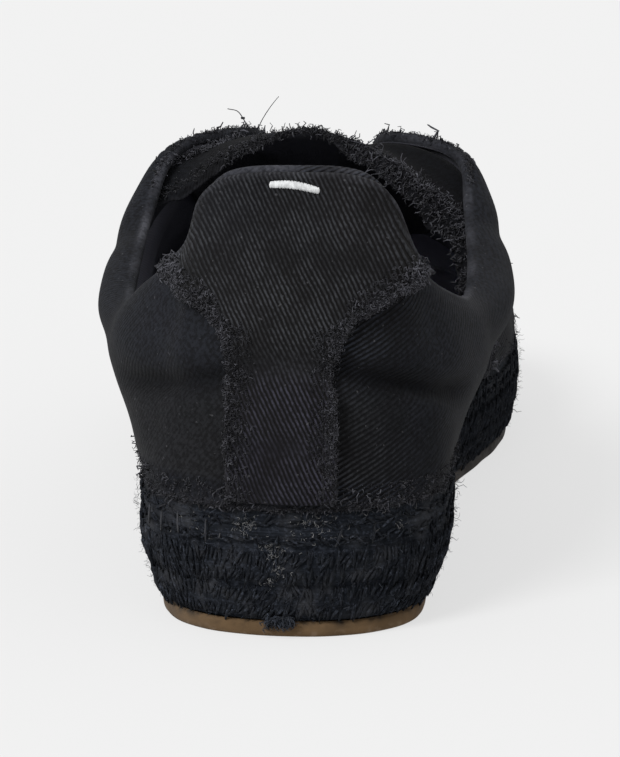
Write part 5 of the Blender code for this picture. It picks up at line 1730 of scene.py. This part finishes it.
def surface_bed(draw, seen, run, reach, stand, tone, keep=True):
    """A bed of curly ends where lines from behind met the shoe: run is the way each leans, stand how steeply."""
    places, normals, met = seen
    kept = met & keep
    places, normals, run, reach = places[kept], normals[kept], run[kept], reach[kept]
    stand = np.broadcast_to(stand, kept.shape)[kept][:, None]
    return Bed(places, unit(run) * (1.0 - stand) + unit(normals) * stand, normals, np.stack([reach] * 3, 1),
               draw.integers(0, FLUFF_KINDS, len(places)), np.clip(tone[kept], 0.0, 1.0))


def frayed_bed(draw, places, aims, normals, reach, beta, gain=1.0):
    """A bed of curly ends whose tones are spread by the two numbers of a beta distribution."""
    count = len(places)
    return Bed(places, aims, normals, np.stack([reach] * 3, 1), draw.integers(0, FLUFF_KINDS, count),
               np.clip(draw.beta(*beta, count) * gain, 0.0, 1.0))


def heading(draw, count, lean_x=0.0, lean_z=0.0):
    """Ways over the back of the heel, leaning to one side or down."""
    angle = draw.uniform(0.0, 2.0 * math.pi, count)
    return np.stack([np.cos(angle) + lean_x, np.zeros(count), np.sin(angle) + lean_z], 1)


STRIP_FLUFF = 1350
WING_FLUFF = 950
# thick tufts at the wings' tips: across, height and how many ends
TIP_TUFTS = ((-24.6, 74.4, 110), (26.2, 75.2, 130))


def stay_fluff_bed(tree):
    """Fluff over a band along both edges of the strip and the wings, thicker at the wings' tips."""
    draw = np.random.default_rng(71)
    beds = []
    count = STRIP_FLUFF
    for edge, inward in STRIP_EDGES:
        height = draw.uniform(27.0, 66.0, count) * MM
        off = draw.gamma(1.5, 1.5, count) - 0.9
        off = np.where(off > 5.4, off * 0.4, off)
        seen = from_behind(tree, edge + inward * off * MM, height)
        run = heading(draw, count, -inward * 0.5)
        dense = soft_noise(height / MM / 2.4, height * 0.0 + edge * 900.0, 72)
        keep = draw.uniform(size=count) < 0.45 + 0.50 * smooth(-0.6, 0.5, dense)
        tone = draw.beta(0.62, 2.1, count) * np.where(off < 1.5, 0.9, 0.75)
        reach = draw.uniform(0.45, 1.05, count) * MM * np.where(off < 0.4, 1.15, 0.9)
        beds.append(surface_bed(draw, seen, run, reach, draw.uniform(0.25, 0.75, count), tone, keep))
    count = WING_FLUFF
    for low, high in ((WING_LOW, STRIP_LOW), (STRIP_HIGH, WING_HIGH)):
        across = draw.uniform(low, high, count)
        off = draw.gamma(1.8, 1.45, count) - 1.3
        tip = bell(np.minimum(across - WING_LOW, WING_HIGH - across) / MM, 3.5)
        off = np.where(off > 6.0, off * 0.4, off)
        seen = from_behind(tree, across, read(TAB_CURVE, across)[:, 0] + off * MM)
        run = heading(draw, count, 0.0, -0.5)
        tone = draw.beta(0.70, 1.9, count) + 0.28 * tip * draw.uniform(size=count)
        reach = draw.uniform(0.5, 1.15, count) * MM * (1.0 + 0.30 * tip)
        beds.append(surface_bed(draw, seen, run, reach, draw.uniform(0.25, 0.8, count), tone))
    for across, height, count in TIP_TUFTS:
        seen = from_behind(tree, (across + draw.normal(0.0, 1.1, count)) * MM,
                           (height + draw.normal(0.0, 1.2, count)) * MM)
        beds.append(surface_bed(draw, seen, heading(draw, count), draw.uniform(0.7, 1.5, count) * MM,
                                draw.uniform(0.3, 0.9, count), draw.beta(2.4, 1.6, count)))
    return join_beds(beds)


def rim_fluff_bed(skin, start, end, side, count, seed, reach, tone, stand=0.6):
    """Frayed ends along the top edge of one side, between two places round it."""
    draw = np.random.default_rng(seed)
    turn = turn_at(side, draw.uniform(start, end, count))
    below = np.abs(draw.normal(0.0, 0.5, count)) * MM
    up = 1.0 - below / skin.rise_at(turn, np.ones(count))
    normals = skin.normal(turn, np.minimum(up, 0.99))
    rise = unit(skin.point(turn, np.ones(count)) - skin.point(turn, np.full(count, 0.97)))
    sunk = (draw.uniform(0.0, 1.0, count) * smooth(0.6 * MM, 0.0, below) * WALL)[:, None]
    swing = draw.normal(0.0, 0.55, (count, 3))
    length = draw.gamma(3.0, reach / 3.0, count) * MM
    aim = rise * stand + normals * (1.0 - stand) * draw.uniform(0.2, 1.0, count)[:, None] + swing * 0.6
    return frayed_bed(draw, skin.point(turn, up, 0.0) - normals * sunk, aim, normals, length, (1.0, 2.6), tone)


TONGUE_FLUFF = 4000


def tongue_fluff_bed(skin):
    """Frayed ends along the tongue's back edge, and all over the hem that hangs from it on the medial side."""
    draw = np.random.default_rng(75)
    grid, normals = hemmed_tongue(skin)
    count = TONGUE_FLUFF
    zone = draw.uniform(size=count)
    near, middle = TONGUE_HALF * 0.7, TONGUE_HALF * 1.10
    column = np.where(zone < 0.56, draw.uniform(middle, grid.shape[1] - 6.0, count),
                      np.where(zone < 0.76, draw.uniform(1.0, near, count), draw.uniform(near, middle, count)))
    inner = smooth(1.02, 1.14, column / TONGUE_HALF)
    outer = column < near
    edge = HEM_ROWS + np.abs(draw.normal(0.0, 1.1, count))
    row = np.where(outer | (draw.uniform(size=count) < 0.30), edge, draw.uniform(0.0, HEM_ROWS, count))
    low, first = column.astype(int), row.astype(int)
    share, part = (column - low)[:, None], (row - first)[:, None]

    def at(field):
        here = field[first, low] * (1.0 - share) + field[first, low + 1] * share
        ahead = field[first + 1, low] * (1.0 - share) + field[first + 1, low + 1] * share
        return here * (1.0 - part) + ahead * part

    ways = unit(at(normals))
    back = unit(grid[0, low] - grid[HEM_ROWS, low])
    reach = draw.gamma(3.0, 0.25, count) * MM * (1.0 + 0.35 * inner)
    reach = np.where((inner > 0.5) & (draw.uniform(size=count) < 0.07), draw.uniform(2.2, 4.4, count) * MM, reach)
    tone = draw.beta(0.8, 2.3, count) * (0.75 + 0.25 * inner) + 0.20 * bell(row - HEM_ROWS, 1.2) * inner
    aim = back * draw.uniform(0.0, 0.8, (count, 1)) + ways * draw.uniform(0.15, 0.8, (count, 1)) \
        + draw.normal(0.0, 0.42, (count, 3))
    width = reach.clip(0, 1.4 * MM)
    return Bed(at(grid), aim, ways, np.stack([reach, width, width], 1), draw.integers(0, FLUFF_KINDS, count),
               np.clip(tone * np.where(outer, 0.6, 1.0), 0.0, 1.0))


FOOT_FLUFF = 3400


def foot_fluff_bed(skin):
    """Frayed ends of the canvas where it meets the rope, all the way round and most of them at the heel."""
    draw = np.random.default_rng(77)
    count = FOOT_FLUFF
    heel = draw.normal(0.0, 0.11, count) % 2.0
    turn = np.where(draw.uniform(size=count) < 0.62, heel, draw.uniform(0.0, 2.0, count))
    level = np.where(draw.uniform(size=count) < 0.35, np.abs(draw.normal(0.0, 0.6, count)),
                     draw.uniform(0.0, 5.6, count))
    up = level.clip(0.0, 6.0) * MM / skin.rise_at(turn, np.ones(count))
    normals = skin.normal(turn, up)
    swing = draw.normal(0.0, 0.8, (count, 3)) - np.array([0.0, 0.0, 0.5])
    reach = draw.gamma(3.0, 0.24, count) * MM
    return frayed_bed(draw, skin.point(turn, up, 0.05 * MM), normals * 0.3 + swing, normals, reach, (0.8, 2.9))


# the pale frayed line inside the lateral flap: across, along and height in millimetres
FLAP_FRAY = ((33.1, 23.2, 80.7), (30.8, 18.4, 80.7), (28.2, 16.9, 81.3), (25.6, 16.4, 82.3), (23.4, 14.8, 83.0),
             (20.5, 12.8, 83.8), (18.1, 9.9, 84.1), (15.7, 7.9, 84.4))
FLAP_FLUFF = 420


def flap_fray_bed():
    """The frayed selvedge of the flap's facing, a given line between the flap and the tongue."""
    draw = np.random.default_rng(78)
    count = FLAP_FLUFF
    route = natural_curve(np.arange(len(FLAP_FRAY)), np.array(FLAP_FRAY) * MM)
    places = read(route, draw.uniform(0.0, len(FLAP_FRAY) - 1.0, count)) + draw.normal(0.0, 0.35, (count, 3)) * MM
    normals = np.tile(unit(np.array([0.0, 0.95, 0.3])), (count, 1))
    aim = draw.normal(0.0, 0.6, (count, 3)) + normals * 0.5
    return frayed_bed(draw, places, aim, normals, draw.gamma(3.0, 0.22, count) * MM, (1.8, 1.8))


SEAM_FLUFF = 420


def quarter_seam_bed(skin, side, seed):
    """Frayed ends along the quarter's raw front edge over the vamp."""
    draw = np.random.default_rng(seed)
    count = SEAM_FLUFF
    up = draw.uniform(0.02, 0.97, count)
    around = quarter_front(up) + draw.normal(-0.0015, 0.0022, count)
    turn = turn_at(side, around)
    places, normals = skin.point(turn, up, 0.1 * MM), skin.normal(turn, up)
    ahead = skin.point(turn_at(side, around + 0.01), up) - places
    swing = draw.normal(0.0, 0.6, (count, 3))
    aim = unit(ahead) * 0.7 + normals * 0.4 + swing * 0.6
    return frayed_bed(draw, places, aim, normals, draw.gamma(3.0, 0.42, count) * MM, (1.5, 2.2))


HEEL_CLOTHS = ("upper_canvas", "heel_stay_canvas")


def build_fringes(sizes, colours):
    skin = shoe_skin(sizes.crease_depth)
    cotton = frayed_thread("frayed_cotton", colours.thread_dark, colours.thread_pale)
    fluff = thread_shapes(FLUFF_KINDS, 81, 0.50, 5, 0.115)
    ends = thread_shapes(FLUFF_KINDS, 82, 0.34, 4, 0.105)
    size = sizes.fringe_scale
    plant("heel_stay_fluff", stay_fluff_bed(heel_targets(HEEL_CLOTHS)), fluff, 0.3, 83, cotton,
          "black_canvas_overlay", size)
    rims = [rim_fluff_bed(skin, 0.405, 0.52, LATERAL, 760, 84, 0.70, 0.9),
            rim_fluff_bed(skin, 0.52, THROAT, LATERAL, 460, 85, 0.8, 0.9),
            rim_fluff_bed(skin, 0.415, 0.52, MEDIAL, 620, 86, 0.75, 0.55, 0.8),
            flap_fray_bed(),
            foot_fluff_bed(skin),
            rim_fluff_bed(skin, 0.52, THROAT, MEDIAL, 460, 87, 0.8, 0.9),
            quarter_seam_bed(skin, LATERAL, 88), quarter_seam_bed(skin, MEDIAL, 89)]
    plant("upper_fringe", join_beds(rims), ends, 0.25, 90, cotton, "black_canvas", size)
    plant("tongue_fringe", tongue_fluff_bed(skin), ends, 0.25, 91, cotton, "black_canvas", size)


def build_rope_fuzz(sizes, colours):
    wall = RopeWall()
    fibre = frayed_thread("jute_fibre", colours.rope_dark, shade(colours.rope_light, 2.0))
    plant("rope_fuzz", rope_fuzz_bed(wall), thread_shapes(FLUFF_KINDS, 92, 0.22, 4, 0.030), 0.35, 94, fibre,
          "black_rope")
    cord = frayed_thread("binding_thread", colours.rope_dark, (0.085, 0.085, 0.093))
    plant("rope_binding", edge_cord_bed(wall), strand_shapes(95), 0.05, 96, cord, "black_rope")
    draw = np.random.default_rng(97)
    tree = heel_targets(("rope_core", "rope_strands_low", "rope_strands_top"))
    beds = []
    for tuft in LINT_TUFTS:
        count = tuft.count
        seen = from_behind(tree, (tuft.across + draw.normal(0.0, tuft.spread, count)) * MM,
                           (tuft.height + draw.normal(0.0, tuft.spread * 0.6, count)) * MM)
        run = draw.normal(0.0, 1.0, (count, 3)) * (1.0, 0.2, 1.0)
        beds.append(surface_bed(draw, seen, run, draw.uniform(0.35, 0.95, count) * MM,
                                draw.uniform(0.1, 0.5, count), draw.uniform(0.4, 1.0, count)))
    for dash in DASHES:
        count = dash.count
        spot = np.linspace(dash.start, dash.end, count)
        seen = from_behind(tree, (spot + draw.normal(0.0, 0.25, count)) * MM,
                           (dash.height + draw.normal(0.0, 0.35, count)) * MM)
        run = np.array([-math.cos(dash.slant), 0.0, math.sin(dash.slant)]) + draw.normal(0.0, 0.18, (count, 3))
        beds.append(surface_bed(draw, seen, run, draw.uniform(1.0, 1.9, count) * MM, 0.08,
                                draw.uniform(0.02, 0.20, count)))
    lint = frayed_thread("pale_lint", (0.045, 0.045, 0.047), (0.19, 0.19, 0.19))
    plant("rope_lint", join_beds(beds), thread_shapes(FLUFF_KINDS, 98, 0.45, 5, 0.085), 0.4, 99, lint, "black_rope")


# ---- stitches
STITCH_KINDS = 3
STRIP_SEAM_OFF = 1.9
QUARTER_SEAMS = (0.0085, 0.0200)
RIM_SEAM_OFF = 0.0042
SEAM_TONE = 0.28


def stitch_line(points, normals, pitch, length, width, seed, tone):
    """Straight stitches laid along a line of points, evenly spaced."""
    draw = np.random.default_rng(seed)
    arc = np.concatenate([[0.0], np.cumsum(np.linalg.norm(np.diff(points, axis=0), axis=1))])
    middles = np.arange(pitch / 2.0, arc[-1], pitch)

    def at(values, off=0.0):
        return np.stack([np.interp(middles + off, arc, values[:, k]) for k in range(3)], 1)

    out = unit(at(normals))
    count = len(middles)
    span = np.tile([length, width, width * 0.8], (count, 1))
    return Bed(at(points) + out * width * 0.15, at(points, pitch / 2.0) - at(points, -pitch / 2.0), out, span,
               draw.integers(0, STITCH_KINDS, count), np.clip(tone + draw.normal(0.0, 0.08, count), 0.0, 1.0))


def stitch_shapes():
    """Plump stitches, one unit long, that dip into the cloth at both ends."""
    share = np.linspace(0.0, 1.0, 6)
    radii = 0.5 * np.sin(math.pi * (0.12 + 0.76 * share)) ** 0.6
    return [tube(np.stack([share - 0.5, share * 0.0, bow * (np.sin(math.pi * share) - 0.7)], 1), radii, 6)
            for bow in (0.35, 0.45, 0.55)]


def eyelet_bed(skin):
    """A ring of close stitches round each eyelet."""
    turn, up, normals = eyelet_places(skin)
    spokes = 22
    angle = np.arange(spokes) * 2.0 * math.pi / spokes
    span = np.tile([1.7 * MM, 0.75 * MM, 0.55 * MM], (spokes, 1))
    beds = []
    for centre, normal in zip(skin.point(turn, up, 0.0), normals):
        aside = unit(np.cross(normal, UPWARD))
        spoke = np.cos(angle)[:, None] * aside + np.sin(angle)[:, None] * np.cross(normal, aside)
        beds.append(Bed(centre + spoke * (EYELET_DIAMETER / 2.0 + 0.35 * MM) + normal * 0.12 * MM, spoke,
                        np.tile(normal, (spokes, 1)), span, np.arange(spokes) % STITCH_KINDS,
                        np.full(spokes, 0.26)))
    return join_beds(beds)


def build_stitches(sizes, colours):
    skin = shoe_skin(sizes.crease_depth)
    thread = frayed_thread("sewing_thread", colours.thread_dark, colours.thread_pale)
    tree = heel_targets(HEEL_CLOTHS)
    width, pitch, length = sizes.stitch_width, sizes.stitch_pitch, sizes.stitch_pitch * 0.70
    beds = []
    for edge, inward in STRIP_EDGES:
        places, normals, met = from_behind(tree, np.full(60, edge + inward * STRIP_SEAM_OFF * MM),
                                           np.linspace(29.0, 66.0, 60) * MM)
        beds.append(stitch_line(places[met], normals[met], pitch, length, width * 0.7, 101, 0.06))

    def sew(turn, up, seed):
        beds.append(stitch_line(skin.point(turn, up), skin.normal(turn, up), pitch, length, width, seed, SEAM_TONE))

    for side in (LATERAL, MEDIAL):
        up = np.linspace(0.02, 0.97, 90)
        for back in QUARTER_SEAMS:
            sew(turn_at(side, quarter_front(up) - back), up, 102)
        turn = turn_at(side, np.linspace(0.44, THROAT - 0.01, 120))
        sew(turn, 1.0 - RIM_SEAM_OFF / skin.rise_at(turn, np.ones(120)), 103)
    plant("seam_stitches", join_beds(beds), stitch_shapes(), 0.04, 104, thread, "black_canvas")
    plant("eyelet_stitches", eyelet_bed(skin), stitch_shapes(), 0.05, 105, thread, "black_canvas")


TACK_CENTRE = (0.3, 93.8)
TACK_SLOPE = 0.115
TACK_ARCH = 0.55
TACK_PITCH = 0.00033


def build_tack(sizes, colours):
    """A plain off-white bar of close zigzag stitches near the top of the tab."""
    draw = np.random.default_rng(111)
    w = Wires("tack_thread")
    tone = w.blend(w.specks(900.0, 2.0, 0.35, 0.68), shade(colours.tack, 0.72), colours.tack)
    w.bump(w.noise(4200.0, 2.0), 0.00008)
    thread = w.finish(tone, 0.75, 0.25, 0.15)
    count = max(int(sizes.tack_length / TACK_PITCH), 8)
    share = (np.arange(count) + 0.5) / count - 0.5
    arch = TACK_ARCH * MM * np.cos(math.pi * share)
    places, normals, _ = from_behind(
        heel_targets(HEEL_CLOTHS), TACK_CENTRE[0] * MM + share * sizes.tack_length,
        TACK_CENTRE[1] * MM + share * sizes.tack_length * TACK_SLOPE + arch)
    lean = np.where(np.arange(count) % 2, 0.07, -0.07)
    aim = np.stack([lean, np.zeros(count), np.ones(count)], 1)
    aim = aim - (aim * normals).sum(1, keepdims=True) * normals
    tall = sizes.tack_height * draw.uniform(0.99, 1.01, count) * np.cos(1.9 * share) ** 0.4
    span = np.stack([tall, np.full(count, 0.74 * MM), np.full(count, 0.55 * MM)], 1)
    bed = Bed(places + normals * 0.18 * MM, aim, normals, span, np.arange(count) % STITCH_KINDS, np.ones(count))
    plant("tab_tack", bed, stitch_shapes(), 0.03, 112, thread, "black_canvas_overlay")


# ---- loose threads
# listed paths from the tongue's raw edge: radius, then across, along (toward the toe is below 0) and up, in mm
LOOSE_THREADS = (
    (0.125, ((0.2, -0.4, -1.6), (0.2, 0.3, 1.4), (-0.8, 0.5, 4.4), (-2.6, 0.3, 7.3), (-4.6, 0.0, 9.8))),
    (0.16, ((0.2, -0.4, -1.2), (0.8, 0.3, 0.9), (1.5, 0.4, 2.1), (3.4, 0.3, 4.95), (4.9, 0.2, 6.6), (6.8, 0.2, 7.0))),
    (0.06, ((-3.4, -0.3, -1.0), (-3.0, 0.2, 0.5), (-3.3, 0.2, 1.6))),
)
KNOT = (3.4, 0.3, 4.95)
THREADS_LEAVE_AT = 0.0118


def build_loose_threads(sizes, colours):
    edge = tongue_grid(shoe_skin(sizes.crease_depth))[0]
    edge = edge[edge[:, 2] > edge[:, 2].max() - 0.012]
    start = edge[np.argmin(np.abs(edge[:, 0] - THREADS_LEAVE_AT))]
    parts = []
    for radius, path in LOOSE_THREADS:
        route = natural_curve(np.arange(len(path)), np.array(path) * MM + start)
        share = np.linspace(0.0, len(path) - 1.0, 9 * (len(path) - 1) + 1)
        points = read(route, share)
        points[:, 1] += 0.35 * MM * np.sin(share * 3.1)
        parts.append(tube(points, radius * MM * (1.0 - 0.45 * share / share[-1]), 6))
    angle = np.linspace(0.0, 4.0 * math.pi, 25)
    loop = np.stack([np.cos(angle), np.sin(angle) * 0.6, 0.35 * np.sin(1.5 * angle)], 1) * 0.32 * MM
    parts.append(tube(loop + (np.array(KNOT) * MM + start), np.full(25, 0.17 * MM), 6))
    points, faces = join_parts(parts)
    mesh = make_mesh("loose_threads", points, faces)
    put_fields(mesh, tone=np.full(len(points), 0.12))
    finish_piece(new_object(mesh), frayed_thread("loose_thread", colours.thread_dark, colours.thread_pale),
                 "black_canvas")


# ---- floor, light and camera
CAMERA_PLACE = (-0.0465, 1.0973, 0.2666)
CAMERA_DIP = math.radians(12.0)
LOOK_RIGHT = -0.04296
LOOK_UP = -0.0058
LENS = 233.0
KEY_FROM = (0.62, 0.90, 1.00)
KEY_STRENGTH = 3.0
KEY_SPREAD = math.radians(22.0)
SKY_STRENGTH = 0.86
FLOOR_SIZE = 30.0
SENSOR_WIDTH = 36.0
WHITE = (1.0, 1.0, 1.0)


def look_along(item, way):
    item.rotation_mode = "QUATERNION"
    item.rotation_quaternion = way.to_track_quat("-Z", "Y")


def build_stage(sizes, colours):
    scene = bpy.context.scene
    scene.view_settings.view_transform = "Standard"
    w = Wires("pale_floor")
    w.put(w.shader.inputs["Emission Strength"], colours.floor_glow)
    w.put(w.shader.inputs["Emission Color"], WHITE)
    w.finish(colours.floor, 0.9, 0.0)
    bpy.ops.mesh.primitive_plane_add(size=FLOOR_SIZE, location=(0.0, 0.0, 0.0))
    floor = bpy.context.object
    floor.name = "studio_floor"
    floor.data.materials.append(w.material)
    scene.world = bpy.data.worlds.new("soft_studio")
    scene.world.use_nodes = True
    sky = scene.world.node_tree.nodes["Background"]
    sky.inputs["Color"].default_value = (*WHITE, 1.0)
    sky.inputs["Strength"].default_value = SKY_STRENGTH
    light = bpy.data.lights.new("key_light", "SUN")
    light.energy, light.angle = KEY_STRENGTH, KEY_SPREAD
    look_along(new_object(light), -Vector(KEY_FROM))
    camera = bpy.data.cameras.new("main_camera")
    camera.lens, camera.sensor_width = LENS, SENSOR_WIDTH
    camera.clip_start, camera.clip_end = 0.05, 60.0
    forward = Vector((0.0, -math.cos(CAMERA_DIP), -math.sin(CAMERA_DIP)))
    upward = Vector((0.0, -math.sin(CAMERA_DIP), math.cos(CAMERA_DIP)))
    scene.camera = new_object(camera)
    scene.camera.location = CAMERA_PLACE
    look_along(scene.camera, forward + Vector((-1.0, 0.0, 0.0)) * LOOK_RIGHT + upward * LOOK_UP)


# ---- the add-on: what can be changed, one operator a piece, and a panel
def length(name, description, default):
    return FloatProperty(name=name, description=description, default=default, unit="LENGTH")


def colour(name, description, default):
    return FloatVectorProperty(name=name, description=description, default=default, subtype="COLOR", size=3,
                               min=0.0, max=1.0)


class ShoeSizes(bpy.types.PropertyGroup):
    """Sizes of the shoe's details."""

    wale_pitch: length("Rib pitch", "Distance between the twill's diagonal ribs", 0.00086)
    crease_depth: length("Crease depth", "Depth given to a crease of one unit", 0.001)
    fringe_scale: FloatProperty(
        name="Fringe", description="Length of the frayed ends against their own", default=1.0, subtype="FACTOR")
    strand_pitch: length("Strand pitch", "Distance between strands round the rope sole", 0.00070)
    strand_length: length("Strand length", "Length of a strand that shows in the plait", 0.0031)
    strand_width: length("Strand width", "Width of a strand in the plait", 0.00072)
    stitch_pitch: length("Stitch pitch", "Distance between stitches in a seam", 0.0027)
    stitch_width: length("Stitch width", "Thickness of the sewing thread", 0.00055)
    tack_length: length("Tack length", "Length of the pale bar tack on the tab", 0.0098)
    tack_height: length("Tack height", "Height of the pale bar tack on the tab", 0.00125)


class ShoeColours(bpy.types.PropertyGroup):
    """Colours of the shoe's cloths, cords and rubber, and of the floor."""

    canvas_dark: colour("Canvas ground", "Colour between the twill's ribs", (0.0050, 0.0050, 0.0058))
    canvas_rib: colour("Canvas ribs", "Colour of the washed ribs", (0.0347, 0.0364, 0.0408))
    # A mid grey for a black lining: its dark colour raised as painted light for the shadowed inside of the shoe.
    lining: colour("Lining", "Colour of the lining's threads", (0.150, 0.152, 0.184))
    lint: colour("Lint", "Colour of dust and lint", (0.090, 0.090, 0.096))
    thread_dark: colour("Thread, dark", "Colour of the darkest frayed ends", (0.0050, 0.0050, 0.0062))
    thread_pale: colour("Thread, pale", "Colour of the palest frayed ends", (0.102, 0.103, 0.120))
    rope_dark: colour("Rope, dark", "Colour between the rope's fibres", (0.0060, 0.0073, 0.0100))
    rope_light: colour("Rope, light", "Colour of the rope's fibres", (0.0350, 0.0405, 0.0540))
    gum: colour("Gum", "Colour of the gum sole", (0.104, 0.065, 0.033))
    tack: colour("Tack", "Colour of the bar tack", (0.57, 0.58, 0.585))
    floor: colour("Floor", "Colour of the studio floor", (0.15, 0.15, 0.15))
    floor_glow: FloatProperty(
        name="Floor glow", description="How much the floor lights itself, which softens the shadow", default=0.66)


def settings(context):
    return context.scene.shoe_sizes, context.scene.shoe_colours


class SHOE_OT_upper(bpy.types.Operator):
    """Make the canvas upper with its lining, creases and punched eyelets"""

    bl_idname = "shoe.upper"
    bl_label = "Canvas upper"

    def execute(self, context):
        build_upper(*settings(context))
        return {"FINISHED"}


class SHOE_OT_tongue(bpy.types.Operator):
    """Make the raw-edged tongue"""

    bl_idname = "shoe.tongue"
    bl_label = "Tongue"

    def execute(self, context):
        build_tongue(*settings(context))
        return {"FINISHED"}


class SHOE_OT_heel_stay(bpy.types.Operator):
    """Make the overlay down the back of the heel, with its tab"""

    bl_idname = "shoe.heel_stay"
    bl_label = "Heel overlay"

    def execute(self, context):
        build_heel_stay(*settings(context))
        return {"FINISHED"}


class SHOE_OT_footbed(bpy.types.Operator):
    """Make the cloth-covered footbed"""

    bl_idname = "shoe.footbed"
    bl_label = "Footbed"

    def execute(self, context):
        build_footbed(*settings(context))
        return {"FINISHED"}


class SHOE_OT_rope_sole(bpy.types.Operator):
    """Make the rope sole: its core and the plaited strands of its three rows"""

    bl_idname = "shoe.rope_sole"
    bl_label = "Rope sole"

    def execute(self, context):
        build_rope_sole(*settings(context))
        return {"FINISHED"}


class SHOE_OT_rope_fuzz(bpy.types.Operator):
    """Bind the rope to the canvas and add loose fibres and lint"""

    bl_idname = "shoe.rope_fuzz"
    bl_label = "Rope binding, fibres and lint"

    def execute(self, context):
        build_rope_fuzz(*settings(context))
        return {"FINISHED"}


class SHOE_OT_gum_sole(bpy.types.Operator):
    """Make the thin gum outsole"""

    bl_idname = "shoe.gum_sole"
    bl_label = "Gum outsole"

    def execute(self, context):
        build_gum_sole(*settings(context))
        return {"FINISHED"}


class SHOE_OT_fringes(bpy.types.Operator):
    """Fray the raw edges of the overlay, the upper and the tongue"""

    bl_idname = "shoe.fringes"
    bl_label = "Frayed edges"

    def execute(self, context):
        build_fringes(*settings(context))
        return {"FINISHED"}


class SHOE_OT_stitches(bpy.types.Operator):
    """Sew the seams and work the eyelets"""

    bl_idname = "shoe.stitches"
    bl_label = "Stitches"

    def execute(self, context):
        build_stitches(*settings(context))
        return {"FINISHED"}


class SHOE_OT_tack(bpy.types.Operator):
    """Sew the pale bar tack on the tab"""

    bl_idname = "shoe.tack"
    bl_label = "Bar tack"

    def execute(self, context):
        build_tack(*settings(context))
        return {"FINISHED"}


class SHOE_OT_loose_threads(bpy.types.Operator):
    """Lay the loose threads that stand off the tongue"""

    bl_idname = "shoe.loose_threads"
    bl_label = "Loose threads"

    def execute(self, context):
        build_loose_threads(*settings(context))
        return {"FINISHED"}


class SHOE_OT_stage(bpy.types.Operator):
    """Set the pale floor, the soft studio light and the camera"""

    bl_idname = "shoe.stage"
    bl_label = "Studio"

    def execute(self, context):
        build_stage(*settings(context))
        return {"FINISHED"}


STEPS = (SHOE_OT_upper, SHOE_OT_tongue, SHOE_OT_heel_stay, SHOE_OT_footbed, SHOE_OT_rope_sole, SHOE_OT_rope_fuzz,
         SHOE_OT_gum_sole, SHOE_OT_fringes, SHOE_OT_stitches, SHOE_OT_tack, SHOE_OT_loose_threads, SHOE_OT_stage)


class SHOE_PT_panel(bpy.types.Panel):
    """Sizes, colours and one button for each piece"""

    bl_idname = "SHOE_PT_panel"
    bl_label = "Rope-soled shoe"
    bl_space_type = "VIEW_3D"
    bl_region_type = "UI"
    bl_category = "Shoe"

    def draw(self, context):
        layout = self.layout
        for group in settings(context):
            box = layout.box()
            for field in group.__annotations__:
                box.prop(group, field)
        for step in STEPS:
            layout.operator(step.bl_idname)


CLASSES = (ShoeSizes, ShoeColours, *STEPS, SHOE_PT_panel)


def register():
    for item in CLASSES:
        bpy.utils.register_class(item)
    bpy.types.Scene.shoe_sizes = PointerProperty(type=ShoeSizes)
    bpy.types.Scene.shoe_colours = PointerProperty(type=ShoeColours)


def unregister():
    del bpy.types.Scene.shoe_colours
    del bpy.types.Scene.shoe_sizes
    for item in reversed(CLASSES):
        bpy.utils.unregister_class(item)


def main():
    register()
    for step in STEPS:
        area, name = step.bl_idname.split(".")
        getattr(getattr(bpy.ops, area), name)()


if __name__ == "__main__":
    main()
